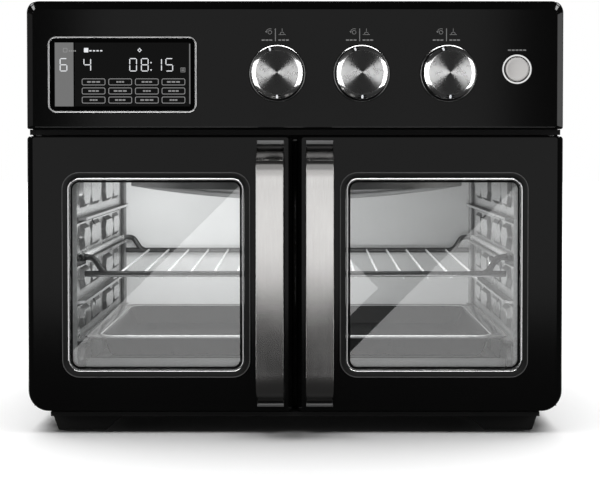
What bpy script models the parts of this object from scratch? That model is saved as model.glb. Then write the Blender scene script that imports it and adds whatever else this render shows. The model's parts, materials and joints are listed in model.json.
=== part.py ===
"""Countertop toaster oven with French doors, modelled as a separable assembly.

Units are metres.  X points to the right, Y to the rear and Z up.  The origin is on
the ground under the middle of the whole object.  A depth is a distance behind the
front plane, the flat face that the doors and the control fascia share.
"""
import math

import bmesh
import bpy
from mathutils import Matrix, Vector

# ------------------------------------------------------------------ driving sizes
WIDTH = 0.440
HEIGHT = 0.3554
FRONT_Y = -0.176                 # front plane: the origin is midway, handle to cord inlet
GAP = 0.0003                     # clearance between solids that touch on the real object
SHEET = 0.0008                   # folded and pressed steel
HALF = WIDTH / 2

# Housing
WRAP_HALF = HALF - 0.0005
WRAP_FRONT = 0.0298
WRAP_REAR = 0.3720
WRAP_CORNER = 0.010
WRAP_BOTTOM = 0.0176
REAR_PLATE = 0.0010
REAR_BULGE = 0.0080              # how far the boxed middle of the rear cover stands back
BASE_BOTTOM = 0.0133
BASE_STEP = 0.0170
BASE_HALF = 0.2016
FRAME_FRONT = 0.0280
FRAME_BACK = 0.0295
FRAME_HALF = 0.2160
RAIL_FRONT = 0.0080
RAIL_HALF = 0.2180
RAIL_Z = (0.2452, 0.2496)

# Control fascia
FASCIA_BOTTOM = 0.2500
FASCIA_DEPTH = 0.0295
FASCIA_ROUND = 0.0062
FASCIA_FACE = 0.0035
FASCIA_WALL = 0.0030
DISPLAY_X = (-0.2020, -0.0800)
DISPLAY_Z = (0.2630, 0.3259)
DISPLAY_CORNER = 0.0070
BEZEL_WIDTH = 0.0014
BEZEL_PROUD = 0.0004
BOARD_DEPTH = 0.0170
BOARD_THICK = 0.0016

KNOB_X = {"left": -0.0144, "centre": 0.0543, "right": 0.1251}
KNOB_Z = 0.2953
KNOB_RADIUS = 0.0210
KNOB_FACE_RADIUS = 0.01775
KNOB_PROUD = 0.0184
KNOB_BEVEL = 0.0024
KNOB_BACK = 0.0004
KNOB_RING = (0.02315, 0.0220)    # outer and inner radius
SHAFT_RADIUS = 0.0030
SHAFT_END = 0.0115
PLUNGER_RADIUS = 0.0033
PLUNGER_DEPTH = (0.0119, 0.0134)
ENCODER_HALF = 0.0080
ENCODER_FRONT = 0.0060
ENCODER_BORE = 0.0037
ENCODER_BORE_END = 0.0155

BUTTON_X = 0.1810
BUTTON_Z = 0.2987
BUTTON_RING = (0.0122, 0.0104)
BUTTON_RADIUS = 0.0100
BUTTON_PROUD = 0.0030
BUTTON_STEM = 0.0025
BUTTON_STEM_END = 0.0112
RING_PROUD = 0.0007
CUP_FLOOR = (0.0022, 0.0034)

# Doors
DOOR_BOTTOM = 0.0177
DOOR_TOP = 0.2443
DOOR_MEETING = 0.0015            # each door stops this far from the middle
DOOR_DEPTH = 0.0260
DOOR_SKIN = 0.0030
DOOR_WALL = 0.0030
DOOR_OUTER_ROUND = 0.0055
DOOR_MEETING_ROUND = 0.0026
DOOR_EDGE_ROUND = 0.0012
DOOR_FOOT_CORNER = 0.0170        # the big outer bottom corner, seen from the front
DOOR_SMALL_CORNER = 0.0030
DOOR_BACK_CHAMFER = 0.0030
HINGE_X = 0.2120
HINGE_DEPTH = 0.0170
HINGE_STILE = 0.0160             # solid edge of the door that the pin runs in
PIN_RADIUS = 0.0025
PIN_BORE = 0.0029
PIN_Z = (0.0240, 0.2478)
KNUCKLE_Z = (0.0300, 0.0330)
KNUCKLE_RADIUS = 0.0052
WINDOW_X = 0.1139                # centre of each window
WINDOW_Z = 0.1305
SURROUND_HALF = (0.0770, 0.0842)
SURROUND_CORNER = 0.0120
TRIM_HALF = (0.0722, 0.0794)
TRIM_CORNER = 0.0095
TRIM_WIDTH = 0.0020
TRIM_DEPTH = 0.0060
GLASS_DEPTH = (0.0022, 0.0052)
INNER_GLASS_HALF = (0.0722, 0.0794)
LINER_DEPTH = (0.0222, 0.0257)

# Handles
HANDLE_X = 0.02005
HANDLE_WIDTH = 0.0221
HANDLE_PROUD = 0.0360
HANDLE_THICK = 0.0030
HANDLE_Z = (0.0228, 0.2407)
HANDLE_BOW = 0.0016

# Cavity
CAVITY_HALF = 0.1851
CAVITY_FRONT = 0.0300
CAVITY_BACK = 0.3420
CAVITY_FLOOR = 0.0340
CAVITY_TOP = 0.2360
OPENING_HALF = 0.1843
GUIDE_TOPS = (0.0711, 0.1050, 0.1389, 0.1754)
GUIDE_REACH = 0.0078
GUIDE_DROP = 0.0055
FAN_DEPTH = 0.1860               # the fan's axis, behind the front plane
GUARD_RADIUS = 0.1550
GUARD_LOW = 0.1857
GUARD_RISE = 0.0135
HEATER_RADIUS = 0.0035
TOP_HEATER_RING = 0.1200
TOP_HEATER_Z = 0.2120
LOWER_HEATER_Z = 0.0460
LOWER_HEATER_DEPTHS = {"front": 0.0950, "rear": 0.2750}
FAN_RADIUS = 0.0850
SOCKET_DEPTH = 0.1760
SOCKET_Z = 0.1250
SOCKET_RADIUS = 0.0080

# Removable pieces
RACK_DEPTH = (0.0420, 0.3250)
RACK_LEVEL = 0.1277
RACK_RAIL_Z = 0.1418
RACK_FLAT_HALF = 0.1588
RACK_HALF = 0.1818
RACK_ROD = 0.0026
RACK_WIRE = 0.0011
RACK_WIRES = 16
RACK_PITCH = 0.0205
PAN_HALF = 0.1825
PAN_INNER_HALF = 0.1690
PAN_RIM_Z = 0.0722
PAN_BOTTOM_Z = 0.0530
PAN_DEPTH = (0.0520, 0.3180)
TRAY_HALF = 0.1770
TRAY_DEPTH = (0.0345, 0.3300)
TRAY_Z = 0.0352
TRAY_LIP_Z = 0.0565

# Feet: the front view is a trapezoid, wider at the top
FOOT_TOP = (0.1421, 0.2016)
FOOT_SOLE = (0.1570, 0.1971)
FOOT_LENGTH = 0.0480
FOOT_DEPTHS = {"front": 0.0160, "rear": 0.3120}

ROUND_STEPS = 4                  # segments in a quarter round
SMOOTH_ANGLE = math.radians(35)


# ------------------------------------------------------------------ scene helpers
def clear_scene():
    for obj in list(bpy.data.objects):
        bpy.data.objects.remove(obj, do_unlink=True)


def make_material(name, colour, roughness, metallic=0.0, alpha=1.0):
    material = bpy.data.materials.new(name)
    material.use_nodes = True
    shader = material.node_tree.nodes["Principled BSDF"]
    shader.inputs["Base Color"].default_value = (*colour, 1.0)
    shader.inputs["Roughness"].default_value = roughness
    shader.inputs["Metallic"].default_value = metallic
    shader.inputs["Alpha"].default_value = alpha
    material.diffuse_color = (*colour, alpha)
    return material


def make_materials():
    return {
        "black_enamel": make_material("black_enamel", (0.012, 0.012, 0.013), 0.38),
        "black_plastic": make_material("black_plastic", (0.02, 0.02, 0.02), 0.5),
        "dark_steel": make_material("dark_steel", (0.09, 0.09, 0.09), 0.45, 0.8),
        "brushed_steel": make_material("brushed_steel", (0.62, 0.61, 0.60), 0.32, 1.0),
        "chrome": make_material("chrome", (0.80, 0.80, 0.80), 0.10, 1.0),
        "cavity_steel": make_material("cavity_steel", (0.66, 0.66, 0.67), 0.30, 1.0),
        "pan_enamel": make_material("pan_enamel", (0.05, 0.05, 0.055), 0.35),
        "clear_glass": make_material("clear_glass", (0.85, 0.88, 0.88), 0.03, 0.0, 0.3),
        "display_glass": make_material("display_glass", (0.01, 0.01, 0.012), 0.1),
        "circuit_green": make_material("circuit_green", (0.03, 0.16, 0.07), 0.55),
        "heater_sheath": make_material("heater_sheath", (0.20, 0.19, 0.18), 0.5, 0.9),
        "foot_rubber": make_material("foot_rubber", (0.015, 0.015, 0.015), 0.85),
        "silver_paint": make_material("silver_paint", (0.70, 0.70, 0.69), 0.35, 0.6),
    }


def depth(distance):
    """World Y of a distance behind the front plane."""
    return FRONT_Y + distance


def place(axis, u, v, along):
    if axis == "X":
        return (along, u, v)
    if axis == "Y":
        return (u, along, v)
    return (u, v, along)


def add_object(name, bm, material, pivot=(0.0, 0.0, 0.0), parent=None):
    """Put a bmesh made in world space into the scene, with its origin at pivot."""
    bmesh.ops.recalc_face_normals(bm, faces=bm.faces[:])
    bmesh.ops.translate(bm, verts=bm.verts[:], vec=-Vector(pivot))
    mesh = bpy.data.meshes.new(name)
    bm.to_mesh(mesh)
    bm.free()
    mesh.shade_smooth()
    mesh.set_sharp_from_angle(angle=SMOOTH_ANGLE)
    obj = bpy.data.objects.new(name, mesh)
    bpy.context.scene.collection.objects.link(obj)
    if parent is None:
        obj.location = pivot
    else:
        obj.parent = parent
    if material is not None:
        mesh.materials.append(material)
    return obj


def add_pivot(name, location):
    empty = bpy.data.objects.new(name, None)
    bpy.context.scene.collection.objects.link(empty)
    empty.empty_display_size = 0.02
    empty.location = location
    return empty


def combine(target, tools, operation):
    """Cut tools out of target, or join them to it, each with a Boolean modifier."""
    for index, bm in enumerate(tools):
        tool = add_object(f"tool_{target.name}_{operation.lower()}_{index}", bm, None)
        tool.hide_render = True
        tool.display_type = "WIRE"
        modifier = target.modifiers.new(tool.name, "BOOLEAN")
        modifier.operation = operation
        modifier.solver = "EXACT"
        modifier.object = tool
    return target


def cut(target, *tools):
    return combine(target, tools, "DIFFERENCE")


def join(target, *tools):
    return combine(target, tools, "UNION")


# ------------------------------------------------------------------ shape helpers
def loft(rings, axis):
    """A closed skin through rings of (outline, position along the axis), capped."""
    bm = bmesh.new()
    layers = []
    for outline, along in rings:
        layers.append([bm.verts.new(place(axis, u, v, along)) for u, v in outline])
    bm.faces.new(layers[0])
    bm.faces.new(layers[-1])
    count = len(layers[0])
    for near, far in zip(layers, layers[1:]):
        for i in range(count):
            j = (i + 1) % count
            bm.faces.new((near[i], near[j], far[j], far[i]))
    return bm


def prism(outline, axis, start, end):
    return loft([(outline, start), (outline, end)], axis)


def box(x, y, z):
    """A block between two limits on each axis."""
    return prism([(x[0], z[0]), (x[1], z[0]), (x[1], z[1]), (x[0], z[1])], "Y", y[0], y[1])


def arc(centre, radius, start, end, steps):
    """Points on an arc, with its angles in degrees."""
    points = []
    for i in range(steps + 1):
        angle = math.radians(start + (end - start) * i / steps)
        points.append((centre[0] + radius * math.cos(angle), centre[1] + radius * math.sin(angle)))
    return points


def rounded_rect(u, v, radii, steps=ROUND_STEPS):
    """Outline with radii for the corners: low-low, high-low, high-high, low-high."""
    if isinstance(radii, float):
        radii = (radii,) * 4
    corners = (
        (u[0], v[0], 1, 1, 180), (u[1], v[0], -1, 1, 270),
        (u[1], v[1], -1, -1, 0), (u[0], v[1], 1, -1, 90),
    )
    outline = []
    for (cu, cv, su, sv, start), radius in zip(corners, radii):
        centre = (cu + su * radius, cv + sv * radius)
        outline += arc(centre, radius, start, start + 90, steps)
    return outline


def around(centre, half, grow=0.0):
    """Limits of a centred span, made larger or smaller."""
    return (centre - half - grow, centre + half + grow)


def turned(profile, axis, centre, steps=32):
    """Turn a closed profile of (radius, along) points; a zero radius is on the axis."""
    bm = bmesh.new()
    columns = []
    for radius, along in profile:
        if radius < 1e-7:
            point = bm.verts.new(place(axis, centre[0], centre[1], along))
            columns.append([point] * steps)
            continue
        ring = []
        for i in range(steps):
            angle = 2 * math.pi * i / steps
            u = centre[0] + radius * math.cos(angle)
            v = centre[1] + radius * math.sin(angle)
            ring.append(bm.verts.new(place(axis, u, v, along)))
        columns.append(ring)
    for near, far in zip(columns, columns[1:] + columns[:1]):
        if near[0] is near[1] and far[0] is far[1]:
            continue
        for i in range(steps):
            j = (i + 1) % steps
            corners = []
            for vert in (near[i], near[j], far[j], far[i]):
                if vert not in corners:
                    corners.append(vert)
            bm.faces.new(corners)
    return bm


def cylinder(axis, centre, radius, start, end, steps=24):
    return turned([(0, start), (radius, start), (radius, end), (0, end)], axis, centre, steps)


def tube(points, radius, sides=8, closed=False):
    """Sweep a circle along a path, with flat ends unless the path is closed."""
    path = [Vector(point) for point in points]
    count = len(path)
    bm = bmesh.new()
    rings = []
    normal = None
    for i, point in enumerate(path):
        before = path[i - 1] if (closed or i) else path[i]
        after = path[(i + 1) % count] if (closed or i + 1 < count) else path[i]
        tangent = (after - before).normalized()
        if normal is None:
            side = Vector((0, 0, 1)) if abs(tangent.z) < 0.9 else Vector((1, 0, 0))
            normal = tangent.cross(side).normalized()
        normal = (normal - tangent * normal.dot(tangent)).normalized()
        across = tangent.cross(normal)
        ring = []
        for k in range(sides):
            angle = 2 * math.pi * (k + 0.5) / sides
            offset = normal * math.cos(angle) + across * math.sin(angle)
            ring.append(bm.verts.new(point + offset * radius))
        rings.append(ring)
    pairs = list(zip(rings, rings[1:]))
    if closed:
        pairs.append((rings[-1], rings[0]))
    else:
        bm.faces.new(rings[0])
        bm.faces.new(rings[-1])
    for near, far in pairs:
        for k in range(sides):
            m = (k + 1) % sides
            bm.faces.new((near[k], near[m], far[m], far[k]))
    return bm


def merge(*parts):
    """Put several separate closed shells into one bmesh, for use as a Boolean tool."""
    whole = bmesh.new()
    for part in parts:
        mesh = bpy.data.meshes.new("merge")
        part.to_mesh(mesh)
        part.free()
        whole.from_mesh(mesh)
        bpy.data.meshes.remove(mesh)
    return whole


def ring_plate(outer, inner, axis, start, end):
    """A flat ring between two outlines that have the same number of points."""
    rings = [(inner, start), (outer, start), (outer, end), (inner, end)]
    bm = bmesh.new()
    layers = []
    for outline, along in rings:
        layers.append([bm.verts.new(place(axis, u, v, along)) for u, v in outline])
    count = len(outer)
    for near, far in zip(layers, layers[1:] + layers[:1]):
        for i in range(count):
            j = (i + 1) % count
            bm.faces.new((near[i], near[j], far[j], far[i]))
    return bm


# ------------------------------------------------------------------ housing
def build_outer_wrap(mats):
    """Top and sides, folded from one sheet, with vents near the rear of both sides."""
    outer = [(-WRAP_HALF, WRAP_BOTTOM)]
    outer += arc((-WRAP_HALF + WRAP_CORNER, HEIGHT - WRAP_CORNER), WRAP_CORNER, 180, 90, ROUND_STEPS)
    outer += arc((WRAP_HALF - WRAP_CORNER, HEIGHT - WRAP_CORNER), WRAP_CORNER, 90, 0, ROUND_STEPS)
    outer.append((WRAP_HALF, WRAP_BOTTOM))
    radius = WRAP_CORNER - SHEET
    inner = [(WRAP_HALF - SHEET, WRAP_BOTTOM)]
    inner += arc((WRAP_HALF - WRAP_CORNER, HEIGHT - WRAP_CORNER), radius, 0, 90, ROUND_STEPS)
    inner += arc((-WRAP_HALF + WRAP_CORNER, HEIGHT - WRAP_CORNER), radius, 90, 180, ROUND_STEPS)
    inner.append((-WRAP_HALF + SHEET, WRAP_BOTTOM))
    wrap = add_object("outer_wrap", prism(outer + inner, "Y", depth(WRAP_FRONT), depth(WRAP_REAR)),
                      mats["black_enamel"])
    slots = []
    slot_count, slot_pitch, slot_height = 7, 0.011, 0.004
    for i in range(slot_count):
        low = 0.262 + i * slot_pitch
        slots.append(box((-HALF, HALF), (depth(0.255), depth(0.335)), (low, low + slot_height)))
    return cut(wrap, merge(*slots))


def build_rear_cover(mats):
    plate = rounded_rect((-WRAP_HALF, WRAP_HALF), (WRAP_BOTTOM, HEIGHT), (0.002, 0.002, 0.010, 0.010))
    foot = rounded_rect((-0.150, 0.150), (0.070, 0.270), 0.014)
    head = rounded_rect((-0.142, 0.142), (0.078, 0.262), 0.010)
    near = depth(WRAP_REAR + GAP)
    far = near + REAR_PLATE
    crest = depth(WRAP_REAR + REAR_BULGE)
    cover = loft([(head, crest - REAR_PLATE), (foot, near), (plate, near),
                  (plate, far), (foot, far), (head, crest)], "Y")
    rear = add_object("rear_cover", cover, mats["black_enamel"])
    slots = []
    for column in (-1, 0, 1):
        for row in range(4):
            centre, low = column * 0.110, 0.292 + row * 0.011
            slots.append(box(around(centre, 0.042), (near - 0.002, far + 0.002), (low, low + 0.004)))
    return cut(rear, merge(*slots))


def build_base_pan(mats):
    """Folded pan: side flanges inside the wrap, a step, and the low floor."""
    side = WRAP_HALF - SHEET - GAP
    flange = 0.032
    right = [(BASE_HALF, BASE_BOTTOM), (BASE_HALF, WRAP_BOTTOM), (side, WRAP_BOTTOM), (side, flange)]
    inner = [(side - SHEET, flange), (side - SHEET, WRAP_BOTTOM + SHEET),
             (BASE_HALF - SHEET, WRAP_BOTTOM + SHEET), (BASE_HALF - SHEET, BASE_BOTTOM + SHEET)]
    left = [(-x, z) for x, z in reversed(right)]
    inner_left = [(-x, z) for x, z in reversed(inner)]
    outline = right + inner + inner_left + left
    pan = add_object("base_pan", prism(outline, "Y", depth(0.0300), depth(WRAP_REAR)), mats["dark_steel"])
    lip = box((-BASE_HALF, BASE_HALF), (depth(0.0060), depth(0.0320)), (BASE_BOTTOM, BASE_STEP))
    return join(pan, lip)


def build_front_frame(mats):
    """Pressed plate round the cavity mouth, the rail over the doors and hinge arms."""
    outer = rounded_rect((-FRAME_HALF, FRAME_HALF), (0.0180, 0.3500), 0.004)
    inner = rounded_rect((-OPENING_HALF, OPENING_HALF), (CAVITY_FLOOR + 0.0005, CAVITY_TOP), 0.008)
    plate = ring_plate(outer, inner, "Y", depth(FRAME_FRONT), depth(FRAME_BACK))
    frame = add_object("front_frame", plate, mats["dark_steel"])
    arms = []
    holes = []
    for side in (-1, 1):
        centre = (side * HINGE_X, depth(HINGE_DEPTH))
        outline = arc(centre, KNUCKLE_RADIUS, 180, 360, 8)
        outline += [(centre[0] + KNUCKLE_RADIUS, depth(FRAME_BACK - 0.0002)),
                    (centre[0] - KNUCKLE_RADIUS, depth(FRAME_BACK - 0.0002))]
        arms.append(prism(outline, "Z", *KNUCKLE_Z))
        holes.append(cylinder("Z", centre, PIN_BORE, KNUCKLE_Z[0] - 0.001, KNUCKLE_Z[1] + 0.001, 20))
        holes.append(cylinder("Z", centre, PIN_BORE, RAIL_Z[0] - 0.001, PIN_Z[1] + GAP, 20))
    rail = box((-RAIL_HALF, RAIL_HALF), (depth(RAIL_FRONT), depth(FRAME_BACK - 0.0002)), RAIL_Z)
    join(frame, merge(rail, *arms))
    return cut(frame, merge(*holes))


def build_feet(mats):
    for end, start in FOOT_DEPTHS.items():
        for side, sign in (("left", -1), ("right", 1)):
            outline = [(sign * FOOT_SOLE[0], 0), (sign * FOOT_SOLE[1], 0),
                       (sign * FOOT_TOP[1], BASE_BOTTOM - GAP), (sign * FOOT_TOP[0], BASE_BOTTOM - GAP)]
            foot = prism(outline, "Y", depth(start), depth(start + FOOT_LENGTH))
            add_object(f"foot_{end}_{side}", foot, mats["foot_rubber"])


def build_cord_inlet(mats):
    near = depth(WRAP_REAR + GAP + REAR_PLATE + GAP)
    far = depth(0.3880)
    profile = [(0, near), (0.0125, near), (0.0125, near + 0.004), (0.0085, near + 0.006),
               (0.0065, far), (0.0040, far), (0.0040, far - 0.007), (0, far - 0.007)]
    add_object("cord_inlet", turned(profile, "Y", (-0.165, 0.045), 24), mats["black_plastic"])


# ------------------------------------------------------------------ controls
def build_control_fascia(mats):
    """Moulded front with rounded top and side edges, hollow from behind."""
    rings = []
    for i in range(ROUND_STEPS + 1):
        angle = math.radians(90 * i / ROUND_STEPS)
        inset = FASCIA_ROUND * (1 - math.sin(angle))
        low = 0.0012 * (1 - math.sin(angle))
        outline = rounded_rect((-HALF + inset, HALF - inset), (FASCIA_BOTTOM + low, HEIGHT - inset),
                               (0.0016, 0.0016, 0.0100 - inset * 0.9, 0.0100 - inset * 0.9))
        rings.append((outline, depth(FASCIA_ROUND * (1 - math.cos(angle)))))
    rings.append((rings[-1][0], depth(FASCIA_DEPTH)))
    fascia = add_object("control_fascia", loft(rings, "Y"), mats["black_plastic"])
    pocket = rounded_rect((-HALF + FASCIA_WALL, HALF - FASCIA_WALL),
                          (FASCIA_BOTTOM + FASCIA_WALL, HEIGHT - FASCIA_WALL), 0.005)
    through = (depth(-0.002), depth(FASCIA_FACE + 0.002))
    holes = [prism(rounded_rect(DISPLAY_X, DISPLAY_Z, DISPLAY_CORNER), "Y", *through)]
    for x in KNOB_X.values():
        holes.append(cylinder("Y", (x, KNOB_Z), KNOB_RING[0] + GAP, *through, 40))
    holes.append(cylinder("Y", (BUTTON_X, BUTTON_Z), BUTTON_RING[0] + GAP, *through, 32))
    hollow = prism(pocket, "Y", depth(FASCIA_FACE), depth(FASCIA_DEPTH + 0.002))
    seat = box((-HALF + FASCIA_WALL, HALF - FASCIA_WALL), (depth(FRAME_FRONT - GAP), depth(0.034)),
               (FASCIA_BOTTOM - 0.002, FASCIA_BOTTOM + 0.010))
    return cut(fascia, hollow, seat, merge(*holes))


def build_display(mats):
    outer = rounded_rect((DISPLAY_X[0] + GAP, DISPLAY_X[1] - GAP),
                         (DISPLAY_Z[0] + GAP, DISPLAY_Z[1] - GAP), DISPLAY_CORNER - GAP)
    rim = BEZEL_WIDTH + GAP
    inner = rounded_rect((DISPLAY_X[0] + rim, DISPLAY_X[1] - rim),
                         (DISPLAY_Z[0] + rim, DISPLAY_Z[1] - rim), DISPLAY_CORNER - rim)
    bezel = ring_plate(outer, inner, "Y", depth(-BEZEL_PROUD), depth(FASCIA_FACE))
    add_object("display_bezel", bezel, mats["silver_paint"])
    rim += GAP
    face = rounded_rect((DISPLAY_X[0] + rim, DISPLAY_X[1] - rim),
                        (DISPLAY_Z[0] + rim, DISPLAY_Z[1] - rim), DISPLAY_CORNER - rim)
    lens = prism(face, "Y", depth(0.0002), depth(FASCIA_FACE))
    add_object("display_lens", lens, mats["display_glass"])


def build_control_board(mats):
    near = depth(BOARD_DEPTH)
    board = box((-0.2060, 0.2060), (near, near + BOARD_THICK), (0.2600, 0.3380))
    obj = add_object("control_board", board, mats["circuit_green"])
    module = box((-0.1950, -0.0900), (depth(0.0070), near + 0.0005), (0.2680, 0.3200))
    return join(obj, module)


def cup_ring(outer, inner, hole, centre, steps):
    """Bright ring with a thin floor, which the knob or button sits in."""
    profile = [(hole, depth(CUP_FLOOR[0])), (inner, depth(CUP_FLOOR[0])),
               (inner, depth(-RING_PROUD)), (outer, depth(-RING_PROUD)),
               (outer, depth(CUP_FLOOR[1])), (hole, depth(CUP_FLOOR[1]))]
    return turned(profile, "Y", centre, steps)


def build_knob(side, x, mats):
    centre = (x, KNOB_Z)
    pivot = (x, FRONT_Y, KNOB_Z)
    add_object(f"knob_ring_{side}", cup_ring(*KNOB_RING, SHAFT_RADIUS + 0.0008, centre, 40), mats["chrome"])
    face = depth(-KNOB_PROUD)
    profile = [(0, face), (KNOB_FACE_RADIUS, face), (KNOB_RADIUS, face + KNOB_BEVEL),
               (KNOB_RADIUS, depth(KNOB_BACK)), (SHAFT_RADIUS, depth(KNOB_BACK)),
               (SHAFT_RADIUS, depth(SHAFT_END)), (0, depth(SHAFT_END))]
    knob = add_object(f"knob_{side}", turned(profile, "Y", centre, 40), mats["brushed_steel"], pivot)
    mark = box(around(x, 0.0005), (face - 0.001, face + 0.0003),
               (KNOB_Z - KNOB_FACE_RADIUS + 0.002, KNOB_Z - KNOB_FACE_RADIUS + 0.007))
    cut(knob, mark)
    plunger = cylinder("Y", centre, PLUNGER_RADIUS, depth(PLUNGER_DEPTH[0]), depth(PLUNGER_DEPTH[1]), 16)
    add_object(f"encoder_plunger_{side}", plunger, mats["black_plastic"], pivot)
    shell = box(around(x, ENCODER_HALF), (depth(ENCODER_FRONT), depth(BOARD_DEPTH - GAP)),
                around(KNOB_Z, ENCODER_HALF))
    encoder = add_object(f"encoder_{side}", shell, mats["dark_steel"])
    cut(encoder, cylinder("Y", centre, ENCODER_BORE, depth(0.004), depth(ENCODER_BORE_END), 16))


def build_start_button(mats):
    centre = (BUTTON_X, BUTTON_Z)
    add_object("button_ring", cup_ring(*BUTTON_RING, BUTTON_STEM + 0.0006, centre, 32), mats["chrome"])
    face = depth(-BUTTON_PROUD)
    profile = [(0, face), (BUTTON_RADIUS - 0.0012, face), (BUTTON_RADIUS, face + 0.0012),
               (BUTTON_RADIUS, depth(0.0004)), (BUTTON_STEM, depth(0.0004)),
               (BUTTON_STEM, depth(BUTTON_STEM_END)), (0, depth(BUTTON_STEM_END))]
    add_object("start_button", turned(profile, "Y", centre, 32), mats["silver_paint"],
               (BUTTON_X, FRONT_Y, BUTTON_Z))
    switch = box(around(BUTTON_X, 0.0045), (depth(0.0130), depth(BOARD_DEPTH - GAP)),
                 around(BUTTON_Z, 0.0045))
    add_object("button_switch", switch, mats["black_plastic"])


# ------------------------------------------------------------------ doors
def window_outline(sign, half, corner, grow=0.0):
    return rounded_rect(around(sign * WINDOW_X, half[0], grow), around(WINDOW_Z, half[1], grow),
                        corner + grow)


def build_door_panel(side, sign, pivot, mats):
    """Hollow black door shell, with a solid stile that the hinge pin runs in."""
    rings = []
    for i in range(ROUND_STEPS + 1):
        angle = math.radians(90 * i / ROUND_STEPS)
        rest = 1 - math.sin(angle)
        outer = HALF - DOOR_OUTER_ROUND * rest
        meeting = DOOR_MEETING + DOOR_MEETING_ROUND * rest
        edge = DOOR_EDGE_ROUND * rest
        rings.append((door_outline(sign, outer, meeting, edge), depth(DOOR_OUTER_ROUND * (1 - math.cos(angle)))))
    rings.append((rings[-1][0], depth(DOOR_DEPTH - DOOR_BACK_CHAMFER)))
    rings.append((door_outline(sign, HALF - DOOR_BACK_CHAMFER, DOOR_MEETING, 0.0), depth(DOOR_DEPTH)))
    panel = add_object(f"{side}_door_panel", loft(rings, "Y"), mats["black_enamel"], pivot, None)
    inner_stile = sign * (HALF - HINGE_STILE)
    meeting_wall = sign * (DOOR_MEETING + DOOR_WALL)
    pocket = rounded_rect(sorted((inner_stile, meeting_wall)),
                          (DOOR_BOTTOM + DOOR_WALL, DOOR_TOP - DOOR_WALL), 0.003)
    hollow = prism(pocket, "Y", depth(DOOR_SKIN), depth(DOOR_DEPTH + 0.002))
    window = prism(window_outline(sign, TRIM_HALF, TRIM_CORNER, GAP), "Y", depth(-0.002), depth(0.010))
    groove = ring_plate(window_outline(sign, SURROUND_HALF, SURROUND_CORNER),
                        window_outline(sign, SURROUND_HALF, SURROUND_CORNER, -0.0008),
                        "Y", depth(-0.002), depth(0.0005))
    bore = cylinder("Z", (sign * HINGE_X, depth(HINGE_DEPTH)), PIN_BORE, PIN_Z[0] - GAP, DOOR_TOP + 0.002, 20)
    slot = box(sorted((sign * (HALF - HINGE_STILE - 0.001), sign * (HALF + 0.002))),
               (depth(HINGE_DEPTH - 0.0090), depth(DOOR_DEPTH + 0.002)),
               (KNUCKLE_Z[0] - 0.0006, KNUCKLE_Z[1] + 0.0006))
    return cut(panel, hollow, window, groove, bore, slot)


def door_outline(sign, outer, meeting, edge):
    low, high = sorted((sign * outer, sign * meeting))
    foot = max(DOOR_FOOT_CORNER - (HALF - outer), 0.004)
    small = DOOR_SMALL_CORNER - edge
    if sign < 0:
        radii = (foot, small, small, small)
    else:
        radii = (small, foot, small, small)
    return rounded_rect((low, high), (DOOR_BOTTOM + edge, DOOR_TOP - edge), radii)


def build_handle(side, sign, pivot, mats):
    """Flat strap bent to a long bar, with a foot flange and a slanting leg at each end."""
    top, bottom = HANDLE_Z[1], HANDLE_Z[0]
    middle = (top + bottom) / 2
    half_thick = HANDLE_THICK / 2
    foot = -GAP - half_thick
    bar = -(HANDLE_PROUD - half_thick)
    end = bar + HANDLE_BOW
    upper = [(foot, top), (foot, top - 0.0050), (foot - 0.0025, top - 0.0072),
             (end + 0.0035, top - 0.0180), (end + 0.0008, top - 0.0203), (end, top - 0.0240)]
    bow = []
    for i in range(1, 6):
        t = i / 6
        z = (top - 0.0240) * (1 - t) + (bottom + 0.0240) * t
        bow.append((end - HANDLE_BOW * math.sin(math.pi * t), z))
    lower = [(d, 2 * middle - z) for d, z in reversed(upper)]
    path = [Vector((d, z)) for d, z in upper + bow + lower]
    front, back = [], []
    for i, point in enumerate(path):
        before = path[max(i - 1, 0)]
        after = path[min(i + 1, len(path) - 1)]
        tangent = (after - before).normalized()
        offset = Vector((tangent.y, -tangent.x)) * half_thick
        front.append(point + offset)
        back.append(point - offset)
    outline = [(depth(d), z) for d, z in front + list(reversed(back))]
    strap = prism(outline, "X", *around(sign * HANDLE_X, HANDLE_WIDTH / 2))
    return add_object(f"{side}_handle", strap, mats["brushed_steel"], pivot, None)


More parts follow.
